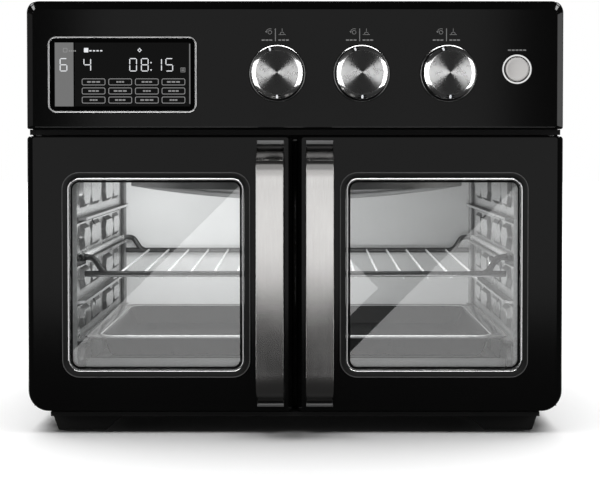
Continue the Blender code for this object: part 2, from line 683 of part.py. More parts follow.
def build_door(side, sign, mats):
    pivot = (sign * HINGE_X, depth(HINGE_DEPTH), DOOR_BOTTOM)
    hinge = add_pivot(f"{side}_door_hinge", pivot)
    pieces = [build_door_panel(side, sign, pivot, mats), build_handle(side, sign, pivot, mats)]

    trim = ring_plate(window_outline(sign, TRIM_HALF, TRIM_CORNER),
                      window_outline(sign, TRIM_HALF, TRIM_CORNER, -TRIM_WIDTH),
                      "Y", depth(0.0001), depth(TRIM_DEPTH))
    pieces.append(add_object(f"{side}_window_trim", trim, mats["chrome"], pivot, None))
    pane = window_outline(sign, TRIM_HALF, TRIM_CORNER, -TRIM_WIDTH - GAP)
    outer_glass = prism(pane, "Y", depth(GLASS_DEPTH[0]), depth(GLASS_DEPTH[1]))
    pieces.append(add_object(f"{side}_outer_glass", outer_glass, mats["clear_glass"], pivot, None))

    stile = sign * (HALF - HINGE_STILE - GAP)
    meeting = sign * (DOOR_MEETING + DOOR_WALL + GAP)
    liner_outline = rounded_rect(sorted((stile, meeting)),
                                 (DOOR_BOTTOM + DOOR_WALL + GAP, DOOR_TOP - DOOR_WALL - GAP), 0.003)
    liner = ring_plate(liner_outline, window_outline(sign, INNER_GLASS_HALF, TRIM_CORNER, GAP),
                       "Y", depth(LINER_DEPTH[0]), depth(LINER_DEPTH[1]))
    pieces.append(add_object(f"{side}_door_liner", liner, mats["cavity_steel"], pivot, None))
    inner_pane = window_outline(sign, INNER_GLASS_HALF, TRIM_CORNER)
    inner_glass = prism(inner_pane, "Y", depth(LINER_DEPTH[0]), depth(LINER_DEPTH[1]))
    pieces.append(add_object(f"{side}_inner_glass", inner_glass, mats["clear_glass"], pivot, None))
    for piece in pieces:
        piece.parent = hinge
        piece.location = (0.0, 0.0, 0.0)

    pin = cylinder("Z", (sign * HINGE_X, depth(HINGE_DEPTH)), PIN_RADIUS, PIN_Z[0], PIN_Z[1], 20)
    add_object(f"{side}_hinge_pin", pin, mats["chrome"])


# ------------------------------------------------------------------ cavity
def build_cavity(mats):
    steel = mats["cavity_steel"]
    span = (depth(CAVITY_FRONT), depth(CAVITY_BACK))
    for side, sign in (("left", -1), ("right", 1)):
        outline = [(CAVITY_HALF + SHEET, CAVITY_FLOOR + GAP), (CAVITY_HALF + SHEET, CAVITY_TOP - GAP),
                   (CAVITY_HALF, CAVITY_TOP - GAP)]
        for top in reversed(GUIDE_TOPS):
            tip = CAVITY_HALF - GUIDE_REACH
            outline += [(CAVITY_HALF, top), (tip + 0.0008, top), (tip, top - 0.0008),
                        (tip + 0.0008, top - 0.0022), (CAVITY_HALF, top - GUIDE_DROP)]
        outline.append((CAVITY_HALF, CAVITY_FLOOR + GAP))
        outline = [(sign * x, z) for x, z in outline]
        wall = add_object(f"cavity_{side}_wall", prism(outline, "Y", *span), steel)
        if side == "right":
            hole = cylinder("X", (depth(SOCKET_DEPTH), SOCKET_Z), SHAFT_RADIUS + 0.0008, 0.180, 0.190, 16)
            cut(wall, hole)
    full_half = CAVITY_HALF + SHEET
    back = box((-full_half, full_half), (span[1] + GAP, span[1] + GAP + SHEET),
               (CAVITY_FLOOR - SHEET, CAVITY_TOP + SHEET))
    add_object("cavity_back_wall", back, steel)
    ceiling = box((-full_half, full_half), span, (CAVITY_TOP, CAVITY_TOP + SHEET))
    ceiling = add_object("cavity_ceiling", ceiling, steel)
    cut(ceiling, cylinder("Z", (0.0, depth(FAN_DEPTH)), 0.0050, CAVITY_TOP - 0.002, CAVITY_TOP + 0.004, 16))
    floor = box((-full_half, full_half), span, (CAVITY_FLOOR - SHEET, CAVITY_FLOOR))
    add_object("cavity_floor", floor, steel)


def guard_height(radius):
    return GUARD_LOW + GUARD_RISE * (radius / GUARD_RADIUS) ** 2


def build_fan_group(mats):
    """Shallow perforated guard under the ceiling, with the heater and fan inside."""
    axis_point = (0.0, depth(FAN_DEPTH))
    top = CAVITY_TOP - GAP
    radii = [GUARD_RADIUS * i / 5 for i in range(6)]
    outer = [(r, guard_height(r)) for r in radii]
    inner = [(min(r, GUARD_RADIUS - SHEET), guard_height(r) + SHEET) for r in reversed(radii)]
    profile = outer + [(GUARD_RADIUS, top), (GUARD_RADIUS - SHEET, top)] + inner
    guard = add_object("fan_guard", turned(profile, "Z", axis_point, 48), mats["dark_steel"])
    slots = []
    slot_count = 10
    for i in range(slot_count):
        slot = box((0.050, 0.130), (-0.005, 0.005), (GUARD_LOW - 0.005, GUARD_LOW + 0.020))
        turn = Matrix.Rotation(2 * math.pi * i / slot_count, 4, "Z")
        bmesh.ops.transform(slot, matrix=Matrix.Translation((*axis_point, 0.0)) @ turn, verts=slot.verts[:])
        slots.append(slot)
    cut(guard, merge(*slots))

    coil_points = []
    coil_steps = 48
    for i in range(coil_steps):
        angle = 2 * math.pi * i / coil_steps
        coil_points.append((TOP_HEATER_RING * math.cos(angle),
                            axis_point[1] + TOP_HEATER_RING * math.sin(angle), TOP_HEATER_Z))
    coil = add_object("top_heater", tube(coil_points, HEATER_RADIUS, 8, closed=True), mats["heater_sheath"])
    leads = []
    for x in (-0.020, 0.020):
        y = axis_point[1] + math.sqrt(TOP_HEATER_RING ** 2 - x ** 2)
        leads.append(cylinder("Z", (x, y), HEATER_RADIUS - 0.0004, TOP_HEATER_Z, top, 10))
    join(coil, merge(*leads))

    hub = [(0, 0.2180), (0.0100, 0.2180), (0.0120, 0.2200), (0.0120, 0.2290), (0.0420, 0.2290),
           (0.0420, 0.2302), (0.0060, 0.2302), (0.0060, 0.2330), (SHAFT_RADIUS, 0.2330),
           (SHAFT_RADIUS, 0.2600), (0, 0.2600)]
    fan = add_object("fan_blade", turned(hub, "Z", axis_point, 24), mats["dark_steel"],
                     (*axis_point, 0.2240))
    vanes = []
    vane_count = 6
    for i in range(vane_count):
        vane = box((0.0300, FAN_RADIUS), (-0.0006, 0.0006), (0.2200, 0.2296))
        turn = Matrix.Rotation(2 * math.pi * i / vane_count, 4, "Z")
        bmesh.ops.transform(vane, matrix=Matrix.Translation((*axis_point, 0.0)) @ turn, verts=vane.verts[:])
        vanes.append(vane)
    join(fan, merge(*vanes))

    base = CAVITY_TOP + SHEET + GAP
    bore = SHAFT_RADIUS + 0.0004
    motor = [(0, 0.2630), (bore, 0.2630), (bore, base), (0.0340, base), (0.0340, base + 0.0030),
             (0.0270, base + 0.0050), (0.0270, 0.2760), (0.0210, 0.2800), (0, 0.2800)]
    add_object("fan_motor", turned(motor, "Z", axis_point, 28), mats["dark_steel"])


def build_lower_heaters(mats):
    for end, position in LOWER_HEATER_DEPTHS.items():
        rod = cylinder("X", (depth(position), LOWER_HEATER_Z), HEATER_RADIUS,
                       -CAVITY_HALF + 0.0006, CAVITY_HALF - 0.0006, 14)
        add_object(f"lower_heater_{end}", rod, mats["heater_sheath"])


def build_lamp(mats):
    top = CAVITY_TOP - GAP
    profile = [(0, top), (0.0170, top), (0.0170, top - 0.0035), (0.0140, top - 0.0050),
               (0.0120, top - 0.0110), (0.0065, top - 0.0150), (0, top - 0.0162)]
    add_object("oven_lamp", turned(profile, "Z", (0.1500, depth(0.0700)), 24), mats["clear_glass"])


def build_rotisserie(mats):
    """Square-hole drive socket on the right wall, and the gear motor outside it."""
    centre = (depth(SOCKET_DEPTH), SOCKET_Z)
    profile = [(0, 0.1790), (SOCKET_RADIUS - 0.0015, 0.1790), (SOCKET_RADIUS, 0.1805),
               (SOCKET_RADIUS, CAVITY_HALF - GAP), (SHAFT_RADIUS, CAVITY_HALF - GAP),
               (SHAFT_RADIUS, 0.2000), (0, 0.2000)]
    socket = add_object("rotisserie_socket", turned(profile, "X", centre, 24), mats["chrome"],
                        (CAVITY_HALF, *centre))
    cut(socket, box((0.170, 0.1835), around(centre[0], 0.0040), around(centre[1], 0.0040)))
    motor = box((0.1900, 0.2140), around(centre[0], 0.0260), around(centre[1], 0.0220))
    motor = add_object("rotisserie_motor", motor, mats["dark_steel"])
    cut(motor, cylinder("X", centre, SHAFT_RADIUS + 0.0005, 0.186, 0.2030, 16))


def build_power_board(mats):
    board = box((-0.2020, -0.2004), (depth(0.070), depth(0.190)), (0.070, 0.190))
    obj = add_object("power_board", board, mats["circuit_green"])
    relay = box((-0.2008, -0.1900), (depth(0.080), depth(0.110)), (0.080, 0.110))
    transformer = box((-0.2008, -0.1900), (depth(0.125), depth(0.175)), (0.120, 0.170))
    return join(obj, merge(relay, transformer))


# ------------------------------------------------------------------ removable pieces
def build_wire_rack(mats):
    """Rod loop whose sides are raised onto the guides, with wires from front to rear."""
    rise = RACK_RAIL_Z - RACK_LEVEL
    step = RACK_HALF - RACK_FLAT_HALF
    corner = [(RACK_FLAT_HALF, 0.0, RACK_LEVEL),
              (RACK_FLAT_HALF + step * 0.22, 0.0, RACK_LEVEL + rise * 0.18),
              (RACK_FLAT_HALF + step * 0.50, 0.0004, RACK_LEVEL + rise * 0.82),
              (RACK_FLAT_HALF + step * 0.66, 0.0018, RACK_RAIL_Z),
              (RACK_FLAT_HALF + step * 0.92, 0.0060, RACK_RAIL_Z),
              (RACK_HALF, 0.0130, RACK_RAIL_Z)]
    front, back = depth(RACK_DEPTH[0]), depth(RACK_DEPTH[1])
    loop = [(x, front + inward, z) for x, inward, z in corner]
    loop += [(x, back - 2.4 * inward, z) for x, inward, z in reversed(corner)]
    loop += [(-x, back - 2.4 * inward, z) for x, inward, z in corner]
    loop += [(-x, front + inward, z) for x, inward, z in reversed(corner)]
    pivot = (0.0, front, RACK_LEVEL)
    rack = add_object("wire_rack", tube(loop, RACK_ROD, 8, closed=True), mats["chrome"], pivot)
    wires = []
    for i in range(RACK_WIRES):
        x = (i - (RACK_WIRES - 1) / 2) * RACK_PITCH
        level = RACK_LEVEL + RACK_ROD - RACK_WIRE * 0.3
        wires.append(tube([(x, front - 0.0012, level), (x, back + 0.0012, level)], RACK_WIRE, 6))
    return join(rack, merge(*wires))


def build_baking_pan(mats):
    near, far = depth(PAN_DEPTH[0]), depth(PAN_DEPTH[1])
    rim = PAN_HALF - PAN_INNER_HALF
    slope = 0.0050

    def ring(inset, radius):
        return rounded_rect((-PAN_HALF + inset, PAN_HALF - inset), (near + inset, far - inset), radius)

    rings = [(ring(rim + slope + SHEET, 0.010), PAN_BOTTOM_Z), (ring(rim - SHEET, 0.014), PAN_RIM_Z - SHEET),
             (ring(0.0, 0.018), PAN_RIM_Z - SHEET), (ring(0.0, 0.018), PAN_RIM_Z),
             (ring(rim, 0.013), PAN_RIM_Z), (ring(rim + slope + SHEET * 2, 0.009), PAN_BOTTOM_Z + SHEET)]
    return add_object("baking_pan", loft(rings, "Z"), mats["pan_enamel"], (0.0, near, PAN_RIM_Z))


def build_crumb_tray(mats):
    """Thin tray over the floor, with a rolled lip at the front to pull it by."""
    near, far = depth(TRAY_DEPTH[0]), depth(TRAY_DEPTH[1])
    outline = [(near, TRAY_Z), (far, TRAY_Z), (far, TRAY_Z + 0.0060), (far - 0.0010, TRAY_Z + 0.0060),
               (far - 0.0010, TRAY_Z + 0.0010), (near + 0.0030, TRAY_Z + 0.0010),
               (near + 0.0030, TRAY_LIP_Z - 0.0030), (near + 0.0040, TRAY_LIP_Z),
               (near, TRAY_LIP_Z)]
    tray = prism(outline, "X", -TRAY_HALF, TRAY_HALF)
    return add_object("crumb_tray", tray, mats["dark_steel"], (0.0, near, TRAY_Z))


def main():
    clear_scene()
    mats = make_materials()
    build_outer_wrap(mats)
    build_rear_cover(mats)
    build_base_pan(mats)
    build_front_frame(mats)
    build_feet(mats)
    build_cord_inlet(mats)
    build_control_fascia(mats)
    build_display(mats)
    build_control_board(mats)
    for side, x in KNOB_X.items():
        build_knob(side, x, mats)
    build_start_button(mats)
    for side, sign in (("left", -1), ("right", 1)):
        build_door(side, sign, mats)
    build_cavity(mats)
    build_fan_group(mats)
    build_lower_heaters(mats)
    build_lamp(mats)
    build_rotisserie(mats)
    build_power_board(mats)
    build_wire_rack(mats)
    build_baking_pan(mats)
    build_crumb_tray(mats)


main()
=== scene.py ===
"""Looks of the French-door toaster oven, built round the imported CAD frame.

Units are metres, in the CAD's own frame: X right, Y to the rear, Z up.  A depth is a
distance behind the front plane, the flat face that the doors and fascia share.
"""
import json
import math

import bmesh
import bpy
from mathutils import Matrix, Vector

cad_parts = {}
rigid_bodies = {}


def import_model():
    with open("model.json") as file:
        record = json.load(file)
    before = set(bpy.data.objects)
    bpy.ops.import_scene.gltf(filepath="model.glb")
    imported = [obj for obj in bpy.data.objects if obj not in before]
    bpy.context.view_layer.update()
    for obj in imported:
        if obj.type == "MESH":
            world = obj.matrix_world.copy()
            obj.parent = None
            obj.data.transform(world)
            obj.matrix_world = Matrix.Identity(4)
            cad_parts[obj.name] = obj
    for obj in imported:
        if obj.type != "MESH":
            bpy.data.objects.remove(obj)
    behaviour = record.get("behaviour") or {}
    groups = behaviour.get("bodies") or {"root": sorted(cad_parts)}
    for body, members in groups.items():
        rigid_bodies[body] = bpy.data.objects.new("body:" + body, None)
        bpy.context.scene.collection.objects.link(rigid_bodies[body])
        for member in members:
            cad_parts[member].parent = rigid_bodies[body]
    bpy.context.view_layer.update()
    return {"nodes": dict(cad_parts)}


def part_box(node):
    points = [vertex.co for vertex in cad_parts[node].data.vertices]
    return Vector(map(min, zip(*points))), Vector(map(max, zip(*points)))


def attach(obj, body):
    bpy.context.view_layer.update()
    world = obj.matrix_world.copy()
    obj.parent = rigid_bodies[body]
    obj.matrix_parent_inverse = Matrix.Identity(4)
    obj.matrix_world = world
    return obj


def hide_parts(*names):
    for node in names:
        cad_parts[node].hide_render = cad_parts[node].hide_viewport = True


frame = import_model()

# ------------------------------------------------------------------ places, from the frame
PANEL_LOW, PANEL_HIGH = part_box("left_door_panel")
FRONT = PANEL_LOW.y
HALF = -PANEL_LOW.x
DOOR_Z = (PANEL_LOW.z, PANEL_HIGH.z)
DOOR_DEPTH = PANEL_HIGH.y - PANEL_LOW.y
DOOR_MEETING = -PANEL_HIGH.x
FASCIA_LOW, FASCIA_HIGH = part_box("control_fascia")
HEIGHT = FASCIA_HIGH.z

SMOOTH = 10                      # segments in a quarter round that shows
SHARP_ANGLE = math.radians(32)


def depth(distance):
    return FRONT + distance


def spot(node):
    """Middle of a CAD node's box."""
    low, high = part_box(node)
    return (low + high) / 2


# ------------------------------------------------------------------ mesh helpers
def place(axis, u, v, along):
    if axis == "X":
        return (along, u, v)
    if axis == "Y":
        return (u, along, v)
    return (u, v, along)


def skin(rings, axis, closed=False):
    """Faces through rings of (outline, position); capped, or closed on itself."""
    bm = bmesh.new()
    layers = []
    for outline, along in rings:
        layers.append([bm.verts.new(place(axis, u, v, along)) for u, v in outline])
    pairs = list(zip(layers, layers[1:]))
    if closed:
        pairs.append((layers[-1], layers[0]))
    else:
        bm.faces.new(layers[0])
        bm.faces.new(layers[-1])
    count = len(layers[0])
    for near, far in pairs:
        for i in range(count):
            j = (i + 1) % count
            bm.faces.new((near[i], near[j], far[j], far[i]))
    return bm


def prism(outline, axis, start, end):
    return skin([(outline, start), (outline, end)], axis)


def box(x, y, z):
    return prism([(x[0], z[0]), (x[1], z[0]), (x[1], z[1]), (x[0], z[1])], "Y", y[0], y[1])


def arc(centre, radius, start, end, steps):
    points = []
    for i in range(steps + 1):
        angle = math.radians(start + (end - start) * i / steps)
        points.append((centre[0] + radius * math.cos(angle), centre[1] + radius * math.sin(angle)))
    return points


def rounded_rect(u, v, radii, steps=SMOOTH):
    if isinstance(radii, float):
        radii = (radii,) * 4
    corners = (
        (u[0], v[0], 1, 1, 180), (u[1], v[0], -1, 1, 270),
        (u[1], v[1], -1, -1, 0), (u[0], v[1], 1, -1, 90),
    )
    outline = []
    for (cu, cv, su, sv, start), radius in zip(corners, radii):
        outline += arc((cu + su * radius, cv + sv * radius), radius, start, start + 90, steps)
    return outline


def around(centre, half):
    return (centre - half, centre + half)


def turned(profile, axis, centre, steps=96):
    """Turn a closed profile of (radius, along) points; a zero radius is on the axis."""
    bm = bmesh.new()
    columns = []
    for radius, along in profile:
        if radius < 1e-7:
            columns.append([bm.verts.new(place(axis, *centre, along))] * steps)
            continue
        columns.append([bm.verts.new(place(axis, centre[0] + radius * math.cos(2 * math.pi * i / steps),
                                           centre[1] + radius * math.sin(2 * math.pi * i / steps), along))
                        for i in range(steps)])
    for near, far in zip(columns, columns[1:] + columns[:1]):
        if near[0] is near[1] and far[0] is far[1]:
            continue
        for i in range(steps):
            j = (i + 1) % steps
            corners = []
            for vert in (near[i], near[j], far[j], far[i]):
                if vert not in corners:
                    corners.append(vert)
            bm.faces.new(corners)
    return bm


def smooth_path(points, steps=6, closed=False):
    """Points on a smooth curve through the given ones."""
    path = [Vector(point) for point in points]
    count = len(path)
    spans = count if closed else count - 1
    out = []
    for i in range(spans):
        if closed:
            p0, p1, p2, p3 = (path[(i + k - 1) % count] for k in range(4))
        else:
            p0, p1, p2, p3 = (path[min(max(i + k - 1, 0), count - 1)] for k in range(4))
        for s in range(steps):
            t = s / steps
            out.append(0.5 * ((2 * p1) + (p2 - p0) * t + (2 * p0 - 5 * p1 + 4 * p2 - p3) * t * t
                              + (3 * p1 - p0 - 3 * p2 + p3) * t ** 3))
    if not closed:
        out.append(path[-1])
    return out


def tube(points, radius, sides=16, closed=False, ends=0.0):
    """Sweep a circle along a path; ends above zero rounds the two tips."""
    path = [Vector(point) for point in points]
    count = len(path)
    bm = bmesh.new()
    rings = []
    normal = None
    for i, point in enumerate(path):
        before = path[i - 1] if (closed or i) else path[i]
        after = path[(i + 1) % count] if (closed or i + 1 < count) else path[i]
        tangent = (after - before).normalized()
        if normal is None:
            side = Vector((0, 0, 1)) if abs(tangent.z) < 0.9 else Vector((1, 0, 0))
            normal = tangent.cross(side).normalized()
        normal = (normal - tangent * normal.dot(tangent)).normalized()
        across = tangent.cross(normal)
        local = radius * (1 - ends) if (not closed and i in (0, count - 1)) else radius
        rings.append([bm.verts.new(point + (normal * math.cos(2 * math.pi * k / sides)
                                            + across * math.sin(2 * math.pi * k / sides)) * local)
                      for k in range(sides)])
    pairs = list(zip(rings, rings[1:]))
    if closed:
        pairs.append((rings[-1], rings[0]))
    else:
        bm.faces.new(rings[0])
        bm.faces.new(rings[-1])
    for near, far in pairs:
        for k in range(sides):
            m = (k + 1) % sides
            bm.faces.new((near[k], near[m], far[m], far[k]))
    return bm


def merge(parts):
    whole = bmesh.new()
    for part in parts:
        mesh = bpy.data.meshes.new("merge")
        part.to_mesh(mesh)
        part.free()
        whole.from_mesh(mesh)
        bpy.data.meshes.remove(mesh)
    return whole


def new_object(name, bm):
    bmesh.ops.recalc_face_normals(bm, faces=bm.faces[:])
    mesh = bpy.data.meshes.new(name)
    bm.to_mesh(mesh)
    bm.free()
    obj = bpy.data.objects.new(name, mesh)
    bpy.context.scene.collection.objects.link(obj)
    return obj


def baked_modifiers(obj):
    """Replace an object's mesh with its evaluated one, and drop the modifiers."""
    graph = bpy.context.evaluated_depsgraph_get()
    mesh = bpy.data.meshes.new_from_object(obj.evaluated_get(graph))
    obj.modifiers.clear()
    obj.data = mesh


def carve(obj, *cutters):
    """Cut each bmesh out of an object, and keep only the result."""
    tools = [new_object(f"cutter_{i}", bm) for i, bm in enumerate(cutters)]
    for tool in tools:
        modifier = obj.modifiers.new(tool.name, "BOOLEAN")
        modifier.operation = "DIFFERENCE"
        modifier.solver = "EXACT"
        modifier.object = tool
    baked_modifiers(obj)
    for tool in tools:
        bpy.data.objects.remove(tool, do_unlink=True)
    return obj


def edge_round(obj, width, segments=3, angle=40):
    modifier = obj.modifiers.new("edge_round", "BEVEL")
    modifier.width = width
    modifier.segments = segments
    modifier.limit_method = "ANGLE"
    modifier.angle_limit = math.radians(angle)
    modifier.miter_outer = "MITER_ARC"
    baked_modifiers(obj)
    return obj


def dress(obj, materials, body, nodes=(), angle=SHARP_ANGLE):
    """Finish a piece: shading, materials, the body it rides on and what it replaces."""
    obj.data.materials.clear()
    for item in materials if isinstance(materials, (list, tuple)) else (materials,):
        obj.data.materials.append(item)
    obj.data.shade_smooth()
    obj.data.set_sharp_from_angle(angle=angle)
    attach(obj, body)
    if nodes:
        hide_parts(*nodes)
    return obj


def piece(name, bm, materials, body, nodes=()):
    return dress(new_object(name, bm), materials, body, nodes)


# ------------------------------------------------------------------ materials
class Shader:
    """A material's node tree with short calls for what repeats."""

    def __init__(self, name):
        self.material = bpy.data.materials.new(name)
        self.material.use_nodes = True
        self.nodes = self.material.node_tree.nodes
        self.links = self.material.node_tree.links
        self.bsdf = self.nodes["Principled BSDF"]
        self.coords = self.nodes.new("ShaderNodeTexCoord")

    def set(self, **values):
        for key, value in values.items():
            socket = self.bsdf.inputs[key.replace("_", " ").title().replace("Ior", "IOR")]
            socket.default_value = (*value, 1.0) if isinstance(value, tuple) else value
        return self

    def mapped(self, scale):
        mapping = self.nodes.new("ShaderNodeMapping")
        mapping.inputs["Scale"].default_value = scale
        self.links.new(self.coords.outputs["Object"], mapping.inputs["Vector"])
        return mapping.outputs["Vector"]

    def noise(self, scale, detail=3.0, stretch=None, roughness=0.5):
        node = self.nodes.new("ShaderNodeTexNoise")
        node.inputs["Scale"].default_value = scale
        node.inputs["Detail"].default_value = detail
        node.inputs["Roughness"].default_value = roughness
        source = self.mapped(stretch) if stretch else self.coords.outputs["Object"]
        self.links.new(source, node.inputs["Vector"])
        return node.outputs["Fac"]

    def ranged(self, value, low, high, start=0.3, end=0.7):
        node = self.nodes.new("ShaderNodeMapRange")
        node.inputs["From Min"].default_value = start
        node.inputs["From Max"].default_value = end
        node.inputs["To Min"].default_value = low
        node.inputs["To Max"].default_value = high
        self.links.new(value, node.inputs["Value"])
        return node.outputs["Result"]

    def tint(self, value, dark, light, start=0.3, end=0.7):
        """Drive the base colour between two colours by a value."""
        ramp = self.nodes.new("ShaderNodeValToRGB")
        ramp.color_ramp.elements[0].position = start
        ramp.color_ramp.elements[1].position = end
        ramp.color_ramp.elements[0].color = (*dark, 1.0)
        ramp.color_ramp.elements[1].color = (*light, 1.0)
        self.links.new(value, ramp.inputs["Fac"])
        self.links.new(ramp.outputs["Color"], self.bsdf.inputs["Base Color"])
        return self

    def rough(self, value, low, high, start=0.3, end=0.7):
        self.links.new(self.ranged(value, low, high, start, end), self.bsdf.inputs["Roughness"])
        return self

    def bump(self, value, strength, distance):
        node = self.nodes.new("ShaderNodeBump")
        node.inputs["Strength"].default_value = strength
        node.inputs["Distance"].default_value = distance
        self.links.new(value, node.inputs["Height"])
        self.links.new(node.outputs["Normal"], self.bsdf.inputs["Normal"])
        return self


def grey(value):
    return (value, value, value)


def satin_black(name, value, rough, grain=1400.0, bump=0.12):
    """Fine powder coat: tiny grain, and a faint wider unevenness."""
    shader = Shader(name)
    fine = shader.noise(grain, 2.0)
    wide = shader.noise(9.0, 2.0)
    shader.tint(wide, grey(value * 0.88), grey(value * 1.12))
    shader.rough(fine, rough * 0.9, rough * 1.12)
    shader.bump(fine, bump, 0.0001)
    return shader


def brushed(name, colour, rough, along, bump=0.10, metallic=1.0, density=2600.0, contrast=0.12):
    """Metal brushed along one axis."""
    shader = Shader(name).set(metallic=metallic)
    stretch = tuple(0.004 if axis == along else 1.0 for axis in "XYZ")
    lines = shader.noise(density, 2.0, stretch)
    cloud = shader.noise(26.0, 3.0)
    low = tuple(channel * (1 - contrast) for channel in colour)
    high = tuple(min(channel * (1 + contrast), 1.0) for channel in colour)
    shader.tint(lines, low, high)
    shader.rough(cloud, rough * 0.88, rough * 1.12)
    shader.bump(lines, bump, 0.00006)
    return shader


def plated(name, colour, rough):
    """Bright plating with the faint haze and specks that keep it from being a mirror."""
    shader = Shader(name).set(metallic=1.0)
    haze = shader.noise(60.0, 4.0)
    shader.tint(haze, tuple(c * 0.95 for c in colour), colour)
    shader.rough(haze, rough * 0.7, rough * 1.3)
    return shader


def moulded(name, colour, rough, grain=900.0):
    shader = Shader(name)
    fine = shader.noise(grain, 3.0)
    shader.tint(fine, tuple(c * 0.9 for c in colour), tuple(c * 1.1 for c in colour))
    shader.rough(fine, rough * 0.92, rough * 1.08)
    shader.bump(fine, 0.1, 0.0001)
    return shader


def pressed_steel(name, value, rough, metallic=1.0):
    """Bright cavity sheet: rolled, a little cloudy, with fine scratches."""
    shader = Shader(name).set(metallic=metallic)
    cloud = shader.noise(14.0, 4.0)
    rolled = shader.noise(700.0, 2.0, (0.02, 0.02, 1.0))
    shader.tint(cloud, grey(value * 0.93), grey(value * 1.03))
    shader.rough(cloud, rough * 0.85, rough * 1.2)
    shader.bump(rolled, 0.05, 0.00005)
    return shader


def glowing(name, colour, strength):
    shader = Shader(name).set(base_color=colour, roughness=0.5)
    shader.bsdf.inputs["Emission Color"].default_value = (*colour, 1.0)
    shader.bsdf.inputs["Emission Strength"].default_value = strength
    return shader


GLASS_MIRROR = 0.0744  # share that one face of a pane mirrors straight on


def pane_glass(name, tint):
    """Thin clear pane: what isn't reflected passes straight through.

    Each face mirrors more as it is seen edge-on, alike from both sides.
    """
    material = bpy.data.materials.new(name)
    material.use_nodes = True
    nodes, links = material.node_tree.nodes, material.node_tree.links
    nodes.remove(nodes["Principled BSDF"])
    clear = nodes.new("ShaderNodeBsdfTransparent")
    clear.inputs["Color"].default_value = (*tint, 1.0)
    mirror = nodes.new("ShaderNodeBsdfGlossy")
    mirror.inputs["Roughness"].default_value = 0.0
    slant = nodes.new("ShaderNodeLayerWeight")
    slant.inputs["Blend"].default_value = 0.5
    steep = nodes.new("ShaderNodeMath")
    steep.operation = "POWER"
    links.new(slant.outputs["Facing"], steep.inputs[0])
    steep.inputs[1].default_value = 5.0
    share = nodes.new("ShaderNodeMath")
    share.operation = "MULTIPLY_ADD"
    links.new(steep.outputs["Value"], share.inputs[0])
    share.inputs[1].default_value = 1.0 - GLASS_MIRROR
    share.inputs[2].default_value = GLASS_MIRROR
    mix = nodes.new("ShaderNodeMixShader")
    links.new(share.outputs["Value"], mix.inputs["Fac"])
    links.new(clear.outputs["BSDF"], mix.inputs[1])
    links.new(mirror.outputs["BSDF"], mix.inputs[2])
    links.new(mix.outputs["Shader"], nodes["Material Output"].inputs["Surface"])
    return material


def turned_metal(name, colour, rough, anisotropic):
    """Face cut on a lathe: the sheen runs along the radius."""
    shader = Shader(name).set(metallic=1.0, anisotropic=anisotropic, anisotropic_rotation=0.25)
    tangent = shader.nodes.new("ShaderNodeTangent")
    tangent.direction_type = "RADIAL"
    tangent.axis = "Y"
    shader.links.new(tangent.outputs["Tangent"], shader.bsdf.inputs["Tangent"])
    haze = shader.noise(220.0, 3.0)
    shader.tint(haze, tuple(c * 0.94 for c in colour), colour)
    shader.rough(haze, rough * 0.94, rough * 1.06)
    return shader


def plated_enamel(name, colour, rough):
    """Smooth enamel: a clear glaze with a slightly cloudy body and no grain."""
    shader = Shader(name)
    cloud = shader.noise(30.0, 3.0)
    shader.tint(cloud, tuple(c * 0.94 for c in colour), tuple(c * 1.04 for c in colour))
    shader.rough(cloud, rough * 0.9, rough * 1.15)
    shader.bsdf.inputs["Specular IOR Level"].default_value = 0.12
    return shader


